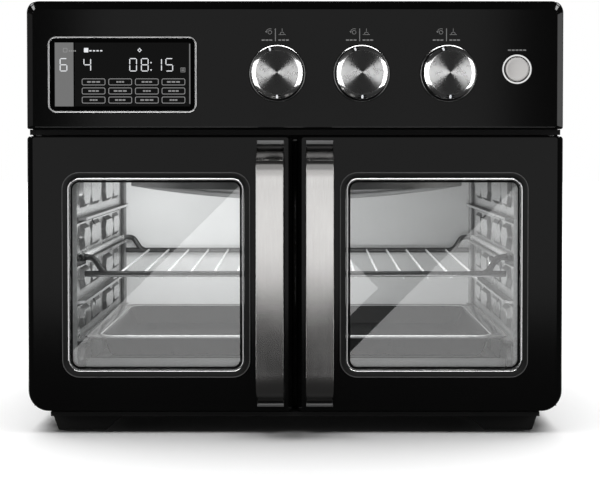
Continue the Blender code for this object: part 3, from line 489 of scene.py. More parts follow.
MAT = {
    "fascia": satin_black("fascia_coat", 0.0020, 0.11).material,
    "door": satin_black("door_coat", 0.0016, 0.12).material,
    "edge": moulded("polished_edge", grey(0.0015), 0.10, 300.0).material,
    # lighter grey standing in for the highlight along each window band's outer edge: a painted highlight
    "line": moulded("window_line", grey(0.10), 0.35).material,
    "housing": satin_black("housing_coat", 0.008, 0.42, 1100.0, 0.2).material,
    "frame": satin_black("frame_coat", 0.026, 0.40).material,
    "band": satin_black("window_band_coat", 0.010, 0.30).material,
    "foot": moulded("foot_moulding", grey(0.010), 0.6).material,
    "black_plastic": moulded("black_moulding", grey(0.018), 0.5).material,
    # near-black for the door seal and the knob marks, and painted shade inside the ring cups
    "black_seal_print_and_gap_shade": moulded("black_seal_print_and_gap_shade", grey(0.002), 0.7).material,
    "frit": moulded("printed_border", grey(0.0012), 0.5).material,
    "handle": brushed("handle_brushed", (0.56, 0.55, 0.54), 0.19, "Z", 0.03, contrast=0.03).material,
    # darker copy of the handle steel: painted shade at the strap's ends against the door
    "handle_end_painted_shade": brushed("handle_end_painted_shade", grey(0.16), 0.30, "Z", 0.03, contrast=0.03).material,
    "lip": moulded("mouth_lip", grey(0.85), 0.4, 300.0).material,
    "chrome": plated("chrome_plate", grey(0.86), 0.09).material,
    "ring": plated("ring_plate", grey(0.82), 0.14).material,
    # dark copy of the rack plating: painted shade on the rods and on the wires where they cross the back rod
    "rack": moulded("rack_plating_painted_shade", grey(0.095), 0.22, 300.0).material,
    # bright copy of the rack plating: painted light on the wires and the straight side rails
    "wire": moulded("rack_plating_painted_light", grey(0.80), 0.25, 300.0).material,
    "knob_face": turned_metal("knob_turned_face", grey(0.74), 0.28, 0.97).material,
    "knob_edge": plated("knob_edge", grey(0.88), 0.16).material,
    # darker copy of the knob plating: painted shade on the knob's side inside its ring
    "knob_side": plated("knob_side", grey(0.10), 0.30).material,
    "button": brushed("button_satin", (0.57, 0.56, 0.55), 0.35, "X", contrast=0.03).material,
    "cavity": pressed_steel("cavity_sheet", 0.86, 0.30).material,
    "back": pressed_steel("cavity_back_sheet", 0.80, 0.55, 0.25).material,
    "liner": brushed("liner_steel", grey(0.55), 0.35, "X").material,
    "guard": moulded("guard_coat", grey(0.40), 0.7).material,
    "heater": brushed("heater_sheath", (0.20, 0.19, 0.18), 0.5, "X").material,
    "pan": plated_enamel("pan_enamel", grey(0.040), 0.14).material,
    # light grey for the bead along the pan's inner rim: a painted highlight
    "pan_edge_highlight": moulded("pan_rim_polish", grey(0.55), 0.3, 300.0).material,
    # darker copy of the cavity steel: painted shade on the pad slopes, guide ledges and back corners
    "slope": pressed_steel("cavity_painted_shade_sheet", 0.24, 0.40, 0.7).material,
    "tray": pressed_steel("tray_sheet", 0.45, 0.45, 0.3).material,
    "fan": brushed("fan_sheet", grey(0.55), 0.4, "X").material,
    "motor": brushed("motor_can", grey(0.30), 0.5, "Z").material,
    "board": moulded("board_mask", (0.02, 0.12, 0.05), 0.45, 300.0).material,
    "lens": moulded("display_lens", grey(0.004), 0.12, 40.0).material,
    "silver": brushed("bezel_silver", grey(0.42), 0.30, "X", 0.02, contrast=0.03).material,
    "lamp": glowing("lamp_glass", (1.0, 0.96, 0.90), 1.0).material,
    "glyph": glowing("display_glyph", (0.95, 0.97, 1.0), 0.85).material,
    "outline": glowing("display_outline", grey(0.30), 0.9).material,
    # also the painted highlight line down the display panel's right edge
    "strip": glowing("display_strip", grey(0.17), 1.0).material,
    "panel": glowing("display_panel", grey(0.006), 1.0).material,
    "print": moulded("white_print", grey(0.62), 0.5).material,
    "screw": plated("screw_black", grey(0.06), 0.35).material,
    "glass": pane_glass("pane_clear", (0.98, 0.985, 0.985)),
}

# CAD nodes that stay as they are, or stand behind a better piece, with their finish
KEPT = {
    "handle": (), "liner": ("left_door_liner", "right_door_liner"),
    "board": ("control_board", "power_board"),
    "black_plastic": ("encoder_left", "encoder_centre", "encoder_right", "encoder_plunger_left",
                      "encoder_plunger_centre", "encoder_plunger_right", "button_switch"),
    "frame": ("front_frame", "base_pan"),
    "cavity": ("cavity_ceiling", "cavity_floor"),
    "heater": ("lower_heater_front", "lower_heater_rear", "top_heater"),
    "motor": ("fan_motor", "rotisserie_motor"),
    "fan": ("fan_blade",),
    "chrome": ("left_hinge_pin", "right_hinge_pin"),
}


def dress_kept_nodes():
    for key, names in KEPT.items():
        for name in names:
            mesh = frame["nodes"][name].data
            mesh.materials.clear()
            mesh.materials.append(MAT[key])


# ------------------------------------------------------------------ housing
WRAP_LOW, WRAP_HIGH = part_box("outer_wrap")
SHEET = 0.0008


def make_outer_wrap():
    corner = 0.010
    half, bottom, top = WRAP_HIGH.x, WRAP_LOW.z, WRAP_HIGH.z
    outer = [(-half, bottom)] + arc((-half + corner, top - corner), corner, 180, 90, SMOOTH)
    outer += arc((half - corner, top - corner), corner, 90, 0, SMOOTH) + [(half, bottom)]
    inner = [(half - SHEET, bottom)] + arc((half - corner, top - corner), corner - SHEET, 0, 90, SMOOTH)
    inner += arc((-half + corner, top - corner), corner - SHEET, 90, 180, SMOOTH)
    inner.append((-half + SHEET, bottom))
    wrap = new_object("outer_wrap_shell", prism(outer + inner, "Y", WRAP_LOW.y, WRAP_HIGH.y))
    slots = []
    for i in range(7):
        low = 0.262 + i * 0.011
        outline = rounded_rect((depth(0.255), depth(0.335)), (low, low + 0.004), 0.0019, 4)
        slots.append(prism(outline, "X", -HALF - 0.01, HALF + 0.01))
    carve(wrap, merge(slots))
    dress(wrap, MAT["housing"], "chassis", ["outer_wrap"])


def screw(x, y, z, axis="Y", radius=0.0032):
    """Pan head with a cross recess, standing on a face that looks along +axis."""
    profile = [(0, y + 0.0016), (radius * 0.55, y + 0.0015), (radius * 0.9, y + 0.0009),
               (radius, y), (0, y)]
    head = turned(profile, axis, (x, z), 24)
    obj = new_object("head", head)
    arm, width, sink = radius * 0.55, radius * 0.11, y + 0.0008
    carve(obj, box(around(x, arm), (sink, y + 0.003), around(z, width)),
          box(around(x, width), (sink, y + 0.003), around(z, arm)))
    bm = bmesh.new()
    bm.from_mesh(obj.data)
    bpy.data.objects.remove(obj, do_unlink=True)
    return bm


def make_rear_cover():
    low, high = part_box("rear_cover")
    near, far = low.y, low.y + 0.0010
    half, bottom, top = high.x, low.z, high.z
    plate = rounded_rect((-half, half), (bottom, top), (0.002, 0.002, 0.010, 0.010))
    rings = []
    steps = 6
    slope = []
    for i in range(steps + 1):
        t = i / steps
        rise = (1 - math.cos(math.pi * t)) / 2
        inset = 0.008 * t
        slope.append((rounded_rect((-0.150 + inset, 0.150 - inset), (0.070 + inset, 0.270 - inset),
                                   0.014 - inset * 0.5), (high.y - far) * rise))
    rings += [(outline, near + lift) for outline, lift in reversed(slope)]
    rings.append((plate, near))
    rings.append((plate, far))
    rings += [(outline, far + lift) for outline, lift in slope]
    rear = new_object("rear_cover_shell", skin(rings, "Y"))
    slots = []
    for column in (-1, 0, 1):
        for row in range(4):
            base = 0.292 + row * 0.011
            outline = rounded_rect(around(column * 0.110, 0.042), (base, base + 0.004), 0.0019, 4)
            slots.append(prism(outline, "Y", near - 0.002, far + 0.002))
    carve(rear, merge(slots))
    dress(rear, MAT["housing"], "chassis", ["rear_cover"])
    heads = []
    for x in (-0.205, 0.0, 0.205):
        for z in (0.034, 0.341):
            heads.append(screw(x, far, z))
    for x in (-0.205, 0.205):
        heads.append(screw(x, far, 0.187))
    piece("rear_screws", merge(heads), MAT["screw"], "chassis")


def make_cord_inlet():
    low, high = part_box("cord_inlet")
    middle = spot("cord_inlet")
    near, far = low.y, high.y
    profile = [(0, near), (0.0125, near), (0.0125, near + 0.0030), (0.0119, near + 0.0038),
               (0.0095, near + 0.0044), (0.0085, near + 0.0060), (0.0078, near + 0.0085),
               (0.0068, far - 0.0008), (0.0060, far), (0.0040, far), (0.0040, far - 0.007), (0, far - 0.007)]
    piece("cord_inlet_gland", turned(profile, "Y", (middle.x, middle.z), 48), MAT["black_plastic"],
          "chassis", ["cord_inlet"])


def make_feet():
    for end in ("front", "rear"):
        for side, sign in (("left", -1), ("right", 1)):
            name = f"foot_{end}_{side}"
            low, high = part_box(name)
            far_x = max(abs(low.x), abs(high.x))
            near_x = min(abs(low.x), abs(high.x))
            outline = [(sign * (near_x + 0.0149), 0.0), (sign * (far_x - 0.0045), 0.0),
                       (sign * far_x, high.z), (sign * near_x, high.z)]
            foot = new_object(f"{name}_moulding", prism(outline, "Y", low.y, high.y))
            edge_round(foot, 0.0011, 4)
            dress(foot, MAT["foot"], "chassis", [name])


# ------------------------------------------------------------------ controls
DISPLAY_LOW, DISPLAY_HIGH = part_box("display_bezel")
BUTTON = spot("button_ring")
KNOBS = {side: spot(f"knob_ring_{side}") for side in ("left", "centre", "right")}
RING_RADIUS = (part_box("knob_ring_left")[1].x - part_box("knob_ring_left")[0].x) / 2
BUTTON_RADIUS = (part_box("button_ring")[1].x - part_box("button_ring")[0].x) / 2


# Bright-cut edge round the fascia and the doors, as shares of its width: from the flat face
# over a tight round to a polished slope, and over another round to the side
DOOR_CUT = ((1.00, 0.00), (0.985, 0.01), (0.30, 0.64), (0.18, 0.77), (0.08, 0.92), (0.02, 1.10), (0.00, 1.30))
EDGE_CUT = ((1.00, 0.00), (0.94, 0.01), (0.88, 0.05), (0.82, 0.11), (0.24, 0.68), (0.14, 0.78),
            (0.06, 0.90), (0.01, 1.06), (0.00, 1.25))


def finish_edges(obj, face, edge):
    """Satin on the faces that look straight ahead, polish on the cut edges."""
    dress_faces(obj, [face, edge], lambda polygon: 0 if abs(polygon.normal.y) > 0.985 else 1)
    for polygon in obj.data.polygons:
        if polygon.material_index == 0:
            polygon.use_smooth = False


def dress_faces(obj, materials, choose):
    obj.data.materials.clear()
    for item in materials:
        obj.data.materials.append(item)
    for polygon in obj.data.polygons:
        polygon.material_index = choose(polygon)


def make_fascia():
    round_by, face, wall = 0.0064, 0.0035, 0.003
    bottom, back = FASCIA_LOW.z, FASCIA_HIGH.y
    rings = []
    for share, fall in EDGE_CUT:
        inset = round_by * share
        corner = 0.0100 - inset * 0.9
        outline = rounded_rect((-HALF + inset, HALF - inset), (bottom + 0.0016 * share, HEIGHT - inset * 1.32),
                               (0.0016, 0.0016, corner, corner))
        rings.append((outline, depth(round_by * fall)))
    rings.append((rings[-1][0], back))
    fascia = new_object("control_fascia_shell", skin(rings, "Y"))
    hollow = prism(rounded_rect((-HALF + wall, HALF - wall), (bottom + wall, HEIGHT - wall), 0.005),
                   "Y", depth(face), back + 0.002)
    seat = box((-HALF + wall, HALF - wall), (depth(0.0277), back + 0.003), (bottom - 0.002, bottom + 0.010))
    through = (depth(-0.002), depth(face + 0.002))
    window = prism(rounded_rect((DISPLAY_LOW.x - 0.0003, DISPLAY_HIGH.x + 0.0003),
                                (DISPLAY_LOW.z - 0.0003, DISPLAY_HIGH.z + 0.0003), 0.0070), "Y", *through)
    holes = [window]
    for centre in KNOBS.values():
        holes.append(turned([(0, through[0]), (RING_RADIUS + 0.0003, through[0]),
                             (RING_RADIUS + 0.0003, through[1]), (0, through[1])], "Y", (centre.x, centre.z)))
    holes.append(turned([(0, through[0]), (BUTTON_RADIUS + 0.0003, through[0]),
                         (BUTTON_RADIUS + 0.0003, through[1]), (0, through[1])], "Y", (BUTTON.x, BUTTON.z)))
    carve(fascia, hollow, seat, merge(holes))
    dress(fascia, MAT["fascia"], "chassis", ["control_fascia"])
    finish_edges(fascia, MAT["fascia"], MAT["edge"])


def ring_rect(x, z, radius, band, steps=6):
    """Inner and outer outlines of a rectangular line of a given width."""
    outer = rounded_rect(x, z, radius, steps)
    inner = rounded_rect((x[0] + band, x[1] - band), (z[0] + band, z[1] - band),
                         max(radius - band, radius * 0.3), steps)
    return outer, inner


def flat_ring(outer, inner, near, far):
    return skin([(inner, near), (outer, near), (outer, far), (inner, far)], "Y", closed=True)


INK = 0.00006                    # thickness of print and of lit segments


def ink(outline, surface):
    return prism(outline, "Y", depth(surface - INK), depth(surface + INK))


def ink_rect(x, z, surface):
    return ink([(x[0], z[0]), (x[1], z[0]), (x[1], z[1]), (x[0], z[1])], surface)


def ink_ring(x, z, radius, band, surface):
    outer, inner = ring_rect(x, z, radius, band)
    return flat_ring(outer, inner, depth(surface - INK), depth(surface + INK))


SEGMENTS = {
    "0": "abcdef", "1": "bc", "4": "bcfg", "5": "acdfg", "6": "acdefg", "8": "abcdefg",
}


def seven_segment(digit, x, z, width, height, thick, surface):
    """Lit strokes of one digit; x, z is its lower left corner."""
    gap = thick * 0.35
    middle = z + height / 2

    def bar(x0, x1, level):
        tip = thick / 2
        return ink([(x0 + gap, level), (x0 + gap + tip, level - tip), (x1 - gap - tip, level - tip),
                    (x1 - gap, level), (x1 - gap - tip, level + tip), (x0 + gap + tip, level + tip)], surface)

    def post(column, z0, z1):
        tip = thick / 2
        return ink([(column, z0 + gap), (column + tip, z0 + gap + tip), (column + tip, z1 - gap - tip),
                    (column, z1 - gap), (column - tip, z1 - gap - tip), (column - tip, z0 + gap + tip)],
                   surface)

    half = thick / 2
    left, right, low, high = x + half, x + width - half, z + half, z + height - half
    strokes = {
        "a": lambda: bar(left, right, high), "g": lambda: bar(left, right, middle),
        "d": lambda: bar(left, right, low), "f": lambda: post(left, middle, high),
        "b": lambda: post(right, middle, high), "e": lambda: post(left, low, middle),
        "c": lambda: post(right, low, middle),
    }
    return [strokes[name]() for name in SEGMENTS[digit]]


def make_display():
    corner = 0.0067
    outer = rounded_rect((DISPLAY_LOW.x, DISPLAY_HIGH.x), (DISPLAY_LOW.z, DISPLAY_HIGH.z), corner)

    def inset(by):
        return rounded_rect((DISPLAY_LOW.x + by, DISPLAY_HIGH.x - by),
                            (DISPLAY_LOW.z + by, DISPLAY_HIGH.z - by), corner - by)

    proud = DISPLAY_LOW.y
    rings = [(inset(0.0014), depth(0.0035)), (inset(0.0014), proud + 0.0004), (inset(0.0011), proud + 0.0001),
             (inset(0.0008), proud), (inset(0.0004), proud), (inset(0.0001), proud + 0.0002),
             (outer, depth(0.0002)), (outer, depth(0.0035))]
    piece("display_bezel_rim", skin(rings, "Y", closed=True), MAT["silver"], "chassis",
          ["display_bezel"])
    lens_face = 0.0004
    lens = prism(inset(0.0017), "Y", depth(lens_face), depth(0.0035))
    piece("display_lens_plate", lens, MAT["lens"], "chassis", ["display_lens"])

    left, bottom = DISPLAY_LOW.x, DISPLAY_LOW.z
    width, height = DISPLAY_HIGH.x - left, DISPLAY_HIGH.z - bottom
    surface = lens_face - 0.0001

    def at(u, v):
        """A place on the display, as fractions of its width and height from the lower left."""
        return left + u * width, bottom + v * height

    strip_low, strip_high = at(0.047, 0.083), at(0.172, 0.917)
    piece("display_strip", ink_rect((strip_low[0], strip_high[0]), (strip_low[1], strip_high[1]), surface),
          MAT["strip"], "chassis")
    panel_end = at(0.955, 0.917)
    piece("display_panel",
          ink_rect((strip_high[0] + 0.001, panel_end[0]), (strip_low[1], panel_end[1]), surface),
          MAT["panel"], "chassis")
    # glowing line down the panel's right edge: a painted highlight
    piece("display_panel_highlight_line", ink_rect((panel_end[0] - 0.0006, panel_end[0] + 0.0003),
                                         (strip_low[1] + 0.002, panel_end[1] - 0.001), surface - 0.00015),
          MAT["strip"], "chassis")
    glyphs = []
    frames = []
    top_surface = surface - 0.00015
    digit_w, digit_h, thick = 0.0062, 0.0108, 0.00072
    for digit, u in (("6", 0.080), ("4", 0.240), ("0", 0.548), ("8", 0.626), ("1", 0.716), ("5", 0.791)):
        x, z = at(u, 0.540)
        glyphs += seven_segment(digit, x, z, digit_w, digit_h, thick, top_surface)
    for v in (0.560, 0.655):
        x, z = at(0.694, v)
        glyphs.append(ink_rect(around(x, 0.0005), around(z, 0.0005), top_surface))
    row_pitch, column_pitch = 0.1185, 0.1790
    pill_w, pill_h = 0.0192, 0.0055
    for row in range(3):
        for column in range(4):
            x, z = at(0.228 + column * column_pitch, 0.122 + row * row_pitch)
            frames.append(ink_ring((x, x + pill_w), (z, z + pill_h), 0.0014, 0.00050, top_surface))
            middle = x + pill_w / 2
            spread = 0.0030 + 0.0010 * ((row + column) % 3)
            for k in (-1, 0, 1):
                frames.append(ink_rect(around(middle + k * spread * 0.75, spread * 0.30),
                                       around(z + pill_h / 2, 0.00060), top_surface))
    x, z = at(0.117, 0.818)
    frames.append(ink_ring(around(x, 0.0018), around(z, 0.0018), 0.0007, 0.0005, top_surface))
    for k in range(4):
        mark_x, mark_z = at(0.146 + k * 0.013, 0.808)
        frames.append(ink_rect(around(mark_x, 0.0005), around(mark_z, 0.0005), top_surface))
    x, z = at(0.258, 0.818)
    glyphs.append(ink(rounded_rect(around(x, 0.0018), around(z, 0.0018), 0.0005, 3), top_surface))
    for k in range(4):
        x, z = at(0.287 + k * 0.024, 0.810)
        glyphs.append(ink_rect(around(x, 0.0009), around(z, 0.0005), top_surface))
    x, z = at(0.617, 0.818)
    outer = [(x - 0.0018, z), (x, z - 0.0018), (x + 0.0018, z), (x, z + 0.0018)]
    inner = [(x - 0.0010, z), (x, z - 0.0010), (x + 0.0010, z), (x, z + 0.0010)]
    glyphs.append(flat_ring(outer, inner, depth(top_surface - INK), depth(top_surface + INK)))
    x, z = at(0.908, 0.560)
    frames.append(ink_ring(around(x, 0.0019), around(z, 0.0019), 0.0003, 0.0003, top_surface))
    for k in (-1, 1):
        frames.append(ink_rect(around(x, 0.0012), around(z + k * 0.0007, 0.0003), top_surface))
    piece("display_glyphs", merge(glyphs), MAT["glyph"], "chassis")
    piece("display_outlines", merge(frames), MAT["outline"], "chassis")


def arc_band(centre, radius, width, start, end, surface, steps=20):
    """A printed stroke along an arc."""
    outer = arc(centre, radius + width / 2, start, end, steps)
    inner = arc(centre, radius - width / 2, end, start, steps)
    return ink(outer + inner, surface)


def make_fascia_print():
    """Generic marks over the knobs (turn, press) and over the button."""
    marks = []
    surface = -0.00006
    line = 0.00042
    for centre in KNOBS.values():
        x, z = centre.x - 0.0016, centre.z
        marks.append(ink_rect(around(x, 0.00035), (z + 0.0262, z + 0.0366), surface))
        turn = (x - 0.0045, z + 0.0335)
        marks.append(arc_band(turn, 0.0015, line, 0, 359.9, surface, 28))
        marks.append(arc_band(turn, 0.0029, line, 62, 168, surface, 16))
        tip = (turn[0] + 0.0029 * math.cos(math.radians(168)), turn[1] + 0.0029 * math.sin(math.radians(168)))
        marks.append(ink([(tip[0] - 0.0010, tip[1] + 0.0003), (tip[0], tip[1] - 0.0012),
                          (tip[0] + 0.0009, tip[1] + 0.0004)], surface))
        push = (x + 0.0055, z + 0.0318)
        marks.append(arc_band((push[0], push[1] + 0.0002), 0.0016, line, 0, 180, surface, 14))
        marks.append(ink_rect(around(push[0], 0.0029), (push[1] - line, push[1]), surface))
        marks.append(ink_rect(around(push[0], line / 2), (push[1] + 0.0024, push[1] + 0.0048), surface))
        for k in range(3):
            low = z + 0.0266
            marks.append(ink_rect(around(x - 0.0100 + k * 0.0031, 0.0012), (low, low + 0.0011), surface))
            marks.append(ink_rect(around(x + 0.0036 + k * 0.0031, 0.0012), (low, low + 0.0011), surface))
    for k in range(5):
        low = BUTTON.z + 0.0150
        marks.append(ink_rect(around(BUTTON.x + (k - 2) * 0.0031, 0.0012), (low, low + 0.0011), surface))
    piece("fascia_print", merge(marks), MAT["print"], "chassis")


def sector(centre, radii, faces, start, end, lift, steps=8):
    """Patch lying on a cone between two radii, from one angle to another."""
    bm = bmesh.new()
    rows = []
    for radius, along in zip(radii, faces):
        for offset in (-lift, lift * 0.2):
            rows.append([bm.verts.new((x, along + offset, z))
                         for x, z in arc(centre, radius, start, end, steps)])
    inner_top, inner_low, outer_top, outer_low = rows
    loop = (inner_top, outer_top, outer_low, inner_low)
    for near, far in zip(loop, loop[1:] + loop[:1]):
        for i in range(steps):
            bm.faces.new((near[i], near[i + 1], far[i + 1], far[i]))
    for i in (0, steps):
        bm.faces.new([row[i] for row in loop])
    return bm


def dress_cup(cup, at, inner):
    """Bright rim; the inside is painted black as shade in the gap round the knob or button."""
    dress_faces(cup, [MAT["ring"], MAT["black_seal_print_and_gap_shade"]],
                lambda polygon: 1 if math.hypot(polygon.center.x - at[0], polygon.center.z - at[1])
                < inner + 0.00005 else 0)


def make_knobs():
    for side, centre in KNOBS.items():
        low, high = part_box(f"knob_{side}")
        at = (centre.x, centre.z)
        radius = (high.x - low.x) / 2
        face_radius, bevel = 0.01775, 0.0024
        face = low.y
        ring_low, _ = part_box(f"knob_ring_{side}")
        body = f"{side}_knob"
        profile = [(0, face + 0.0004), (face_radius - 0.0004, face + 0.0004), (face_radius, face),
                   (face_radius + 0.0003, face)]
        steps = 5
        for i in range(1, steps + 1):
            t = i / steps
            profile.append((face_radius + 0.0003 + (radius - face_radius - 0.0003) * t,
                            face + bevel * t ** 1.35))
        profile += [(radius, face + bevel + 0.0006), (radius, depth(0.0004)), (0.0030, depth(0.0004)),
                    (0.0030, high.y), (0, high.y)]
        knob = new_object(f"knob_{side}_cap", turned(profile, "Y", at, 128))
        dress(knob, MAT["knob_face"], body, [f"knob_{side}"], math.radians(24))

        def part_of_knob(polygon):
            away = math.hypot(polygon.center.x - at[0], polygon.center.z - at[1])
            if polygon.center.y > face + bevel + 0.0008:
                return 0
            return 2 if away < face_radius - 0.0002 else 1

        # the knob's side and back take the darker plating: painted shade inside the ring
        dress_faces(knob, [MAT["knob_side"], MAT["knob_edge"], MAT["knob_face"]], part_of_knob)
        marks = []
        glowing_ticks = []
        span = (face_radius + 0.0006, radius - 0.0002)
        along = [face + bevel * ((r - face_radius - 0.0003) / (radius - face_radius - 0.0003)) ** 1.35
                 for r in span]
        for middle_angle, half_span in ((270.0, 9.5), (107.0, 9.0)):
            marks.append(sector(at, span, along, middle_angle - half_span, middle_angle + half_span, 0.00012))
            glowing_ticks.append(sector(at, span, along, middle_angle - 2.2, middle_angle + 2.2, 0.00024, 3))
        piece(f"knob_{side}_marks", merge(marks), MAT["black_seal_print_and_gap_shade"], body)
        # white knob ticks made with the glowing display material: a painted glow on print
        piece(f"knob_{side}_ticks", merge(glowing_ticks), MAT["glyph"], body)
        inner = 0.0220
        proud, floor_y, back = ring_low.y, depth(0.0022), depth(0.0034)
        mid = (inner + RING_RADIUS) / 2
        ring = [(0.0038, floor_y), (inner, floor_y), (inner, proud + 0.0005), (inner + 0.0002, proud + 0.00015),
                (mid, proud), (RING_RADIUS - 0.0002, proud + 0.00015), (RING_RADIUS, proud + 0.0005),
                (RING_RADIUS, back), (0.0038, back)]
        cup = new_object(f"knob_ring_{side}_cup", turned(ring, "Y", at, 128))
        dress(cup, MAT["ring"], "chassis", [f"knob_ring_{side}"])
        dress_cup(cup, at, inner)


def make_start_button():
    low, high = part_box("start_button")
    at = (BUTTON.x, BUTTON.z)
    radius = (high.x - low.x) / 2
    face = low.y
    cap = [(0, face + 0.0005), (radius * 0.4, face + 0.00042), (radius * 0.75, face + 0.00012),
           (radius - 0.0015, face), (radius - 0.0006, face + 0.0002), (radius - 0.0001, face + 0.0009),
           (radius, face + 0.0016), (radius, depth(0.0004)), (0.0025, depth(0.0004)),
           (0.0025, high.y), (0, high.y)]
    piece("start_button_cap", turned(cap, "Y", at, 96), MAT["button"], "start_button",
          ["start_button"])
    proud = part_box("button_ring")[0].y
    inner = 0.0104
    outer = BUTTON_RADIUS
    mid = (inner + outer) / 2
    ring = [(0.0031, depth(0.0022)), (inner, depth(0.0022)), (inner, proud + 0.0005),
            (inner + 0.0003, proud + 0.0001), (mid, proud), (outer - 0.0003, proud + 0.0001),
            (outer, proud + 0.0005), (outer, depth(0.0034)), (0.0031, depth(0.0034))]
    cup = piece("button_ring_cup", turned(ring, "Y", at, 96), MAT["ring"], "chassis", ["button_ring"])
    dress_cup(cup, at, inner)


# ------------------------------------------------------------------ doors
TRIM_LOW, TRIM_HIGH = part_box("right_window_trim")
WINDOW_X = (TRIM_LOW.x + TRIM_HIGH.x) / 2
WINDOW_Z = (TRIM_LOW.z + TRIM_HIGH.z) / 2
TRIM_HALF = ((TRIM_HIGH.x - TRIM_LOW.x) / 2, (TRIM_HIGH.z - TRIM_LOW.z) / 2)
TRIM_CORNER = 0.0095
SURROUND = 0.0048                # width of the band outside the bright trim


def window_outline(sign, grow):
    return rounded_rect(around(sign * WINDOW_X, TRIM_HALF[0] + grow), around(WINDOW_Z, TRIM_HALF[1] + grow),
                        TRIM_CORNER + grow)


def window_ring(sign, profile):
    """Ring whose section is a list of (growth, depth) points."""
    return skin([(window_outline(sign, grow), depth(d)) for grow, d in profile], "Y", closed=True)


def door_outline(sign, outer, meeting, edge):
    low, high = sorted((sign * outer, sign * meeting))
    foot = max(0.0170 - (HALF - outer), 0.004)
    small = 0.0030 - edge
    radii = (foot, small, small, small) if sign < 0 else (small, foot, small, small)
    return rounded_rect((low, high), (DOOR_Z[0] + edge, DOOR_Z[1] - edge), radii)


def make_door_panel(side, sign):
    rings = []
    outer_round, meeting_round, edge_by = 0.0056, 0.0040, 0.0012
    for share, fall in DOOR_CUT:
        rings.append((door_outline(sign, HALF - outer_round * share, DOOR_MEETING + meeting_round * share,
                                   edge_by * share), depth(outer_round * fall)))
    chamfer = 0.0030
    rings.append((rings[-1][0], depth(DOOR_DEPTH - chamfer)))
    rings.append((door_outline(sign, HALF - chamfer, DOOR_MEETING, 0.0), depth(DOOR_DEPTH)))
    panel = new_object(f"{side}_door_shell", skin(rings, "Y"))
    pocket = rounded_rect(sorted((sign * (HALF - 0.016), sign * (DOOR_MEETING + 0.003))),
                          (DOOR_Z[0] + 0.003, DOOR_Z[1] - 0.003), 0.003)
    hinge = spot(f"{side}_hinge_pin")
    pin_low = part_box(f"{side}_hinge_pin")[0].z
    bore = turned([(0, pin_low - 0.0003), (0.0029, pin_low - 0.0003), (0.0029, DOOR_Z[1] + 0.002),
                   (0, DOOR_Z[1] + 0.002)], "Z", (hinge.x, hinge.y), 24)
    slot = box(sorted((sign * (HALF - 0.017), sign * (HALF + 0.002))),
               (hinge.y - 0.0090, depth(DOOR_DEPTH + 0.002)), (0.0294, 0.0336))
    hollow = prism(pocket, "Y", depth(0.003), depth(DOOR_DEPTH + 0.002))
    window = prism(window_outline(sign, SURROUND + 0.0001), "Y", depth(-0.002), depth(0.010))
    carve(panel, hollow, window, bore, slot)
    dress(panel, MAT["door"], f"{side}_door", [f"{side}_door_panel"])
    finish_edges(panel, MAT["door"], MAT["edge"])
    seal = box(sorted((sign * 0.00003, sign * 0.0016)), (depth(0.0110), depth(0.0168)),
               (DOOR_Z[0] + 0.004, DOOR_Z[1] - 0.004))
    piece(f"{side}_door_seal", seal, MAT["black_seal_print_and_gap_shade"], f"{side}_door")


def make_window(side, sign):
    body = f"{side}_door"
    band = [(SURROUND - 0.0007, 0.0030), (SURROUND - 0.0007, -0.0002), (SURROUND - 0.0010, -0.0004),
            (0.0012, -0.0004), (0.0006, -0.0002), (0.0003, 0.0004), (0.0003, 0.0030)]
    piece(f"{side}_window_band", window_ring(sign, band), MAT["band"], body)
    # slim lighter ring at the band's outer edge: a painted highlight line
    line = [(SURROUND, 0.0030), (SURROUND, -0.0002), (SURROUND - 0.0002, -0.0006),
            (SURROUND - 0.0005, -0.0006), (SURROUND - 0.0007, -0.0003), (SURROUND - 0.0007, 0.0030)]
    piece(f"{side}_window_line", window_ring(sign, line), MAT["line"], body)
    trim = [(0.0, 0.0060), (0.0, 0.0002), (-0.0002, -0.0002), (-0.0005, -0.00038), (-0.0011, -0.0004),
            (-0.0015, 0.0000), (-0.0018, 0.0009), (-0.0020, 0.0018), (-0.0020, 0.0060)]
    piece(f"{side}_window_bead", window_ring(sign, trim), MAT["chrome"], body,
          [f"{side}_window_trim"])
    frit = [(-0.0021, 0.0019), (-0.0021, 0.0021), (-0.0036, 0.0021), (-0.0036, 0.0019)]
    piece(f"{side}_glass_border", window_ring(sign, frit), MAT["frit"], body)
    outer = prism(window_outline(sign, -0.0023), "Y", depth(0.0022), depth(0.0052))
    piece(f"{side}_outer_pane", outer, MAT["glass"], body, [f"{side}_outer_glass"])
    low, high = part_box(f"{side}_inner_glass")
    inner = prism(window_outline(sign, 0.0), "Y", low.y, high.y)
    piece(f"{side}_inner_pane", inner, MAT["glass"], body, [f"{side}_inner_glass"])


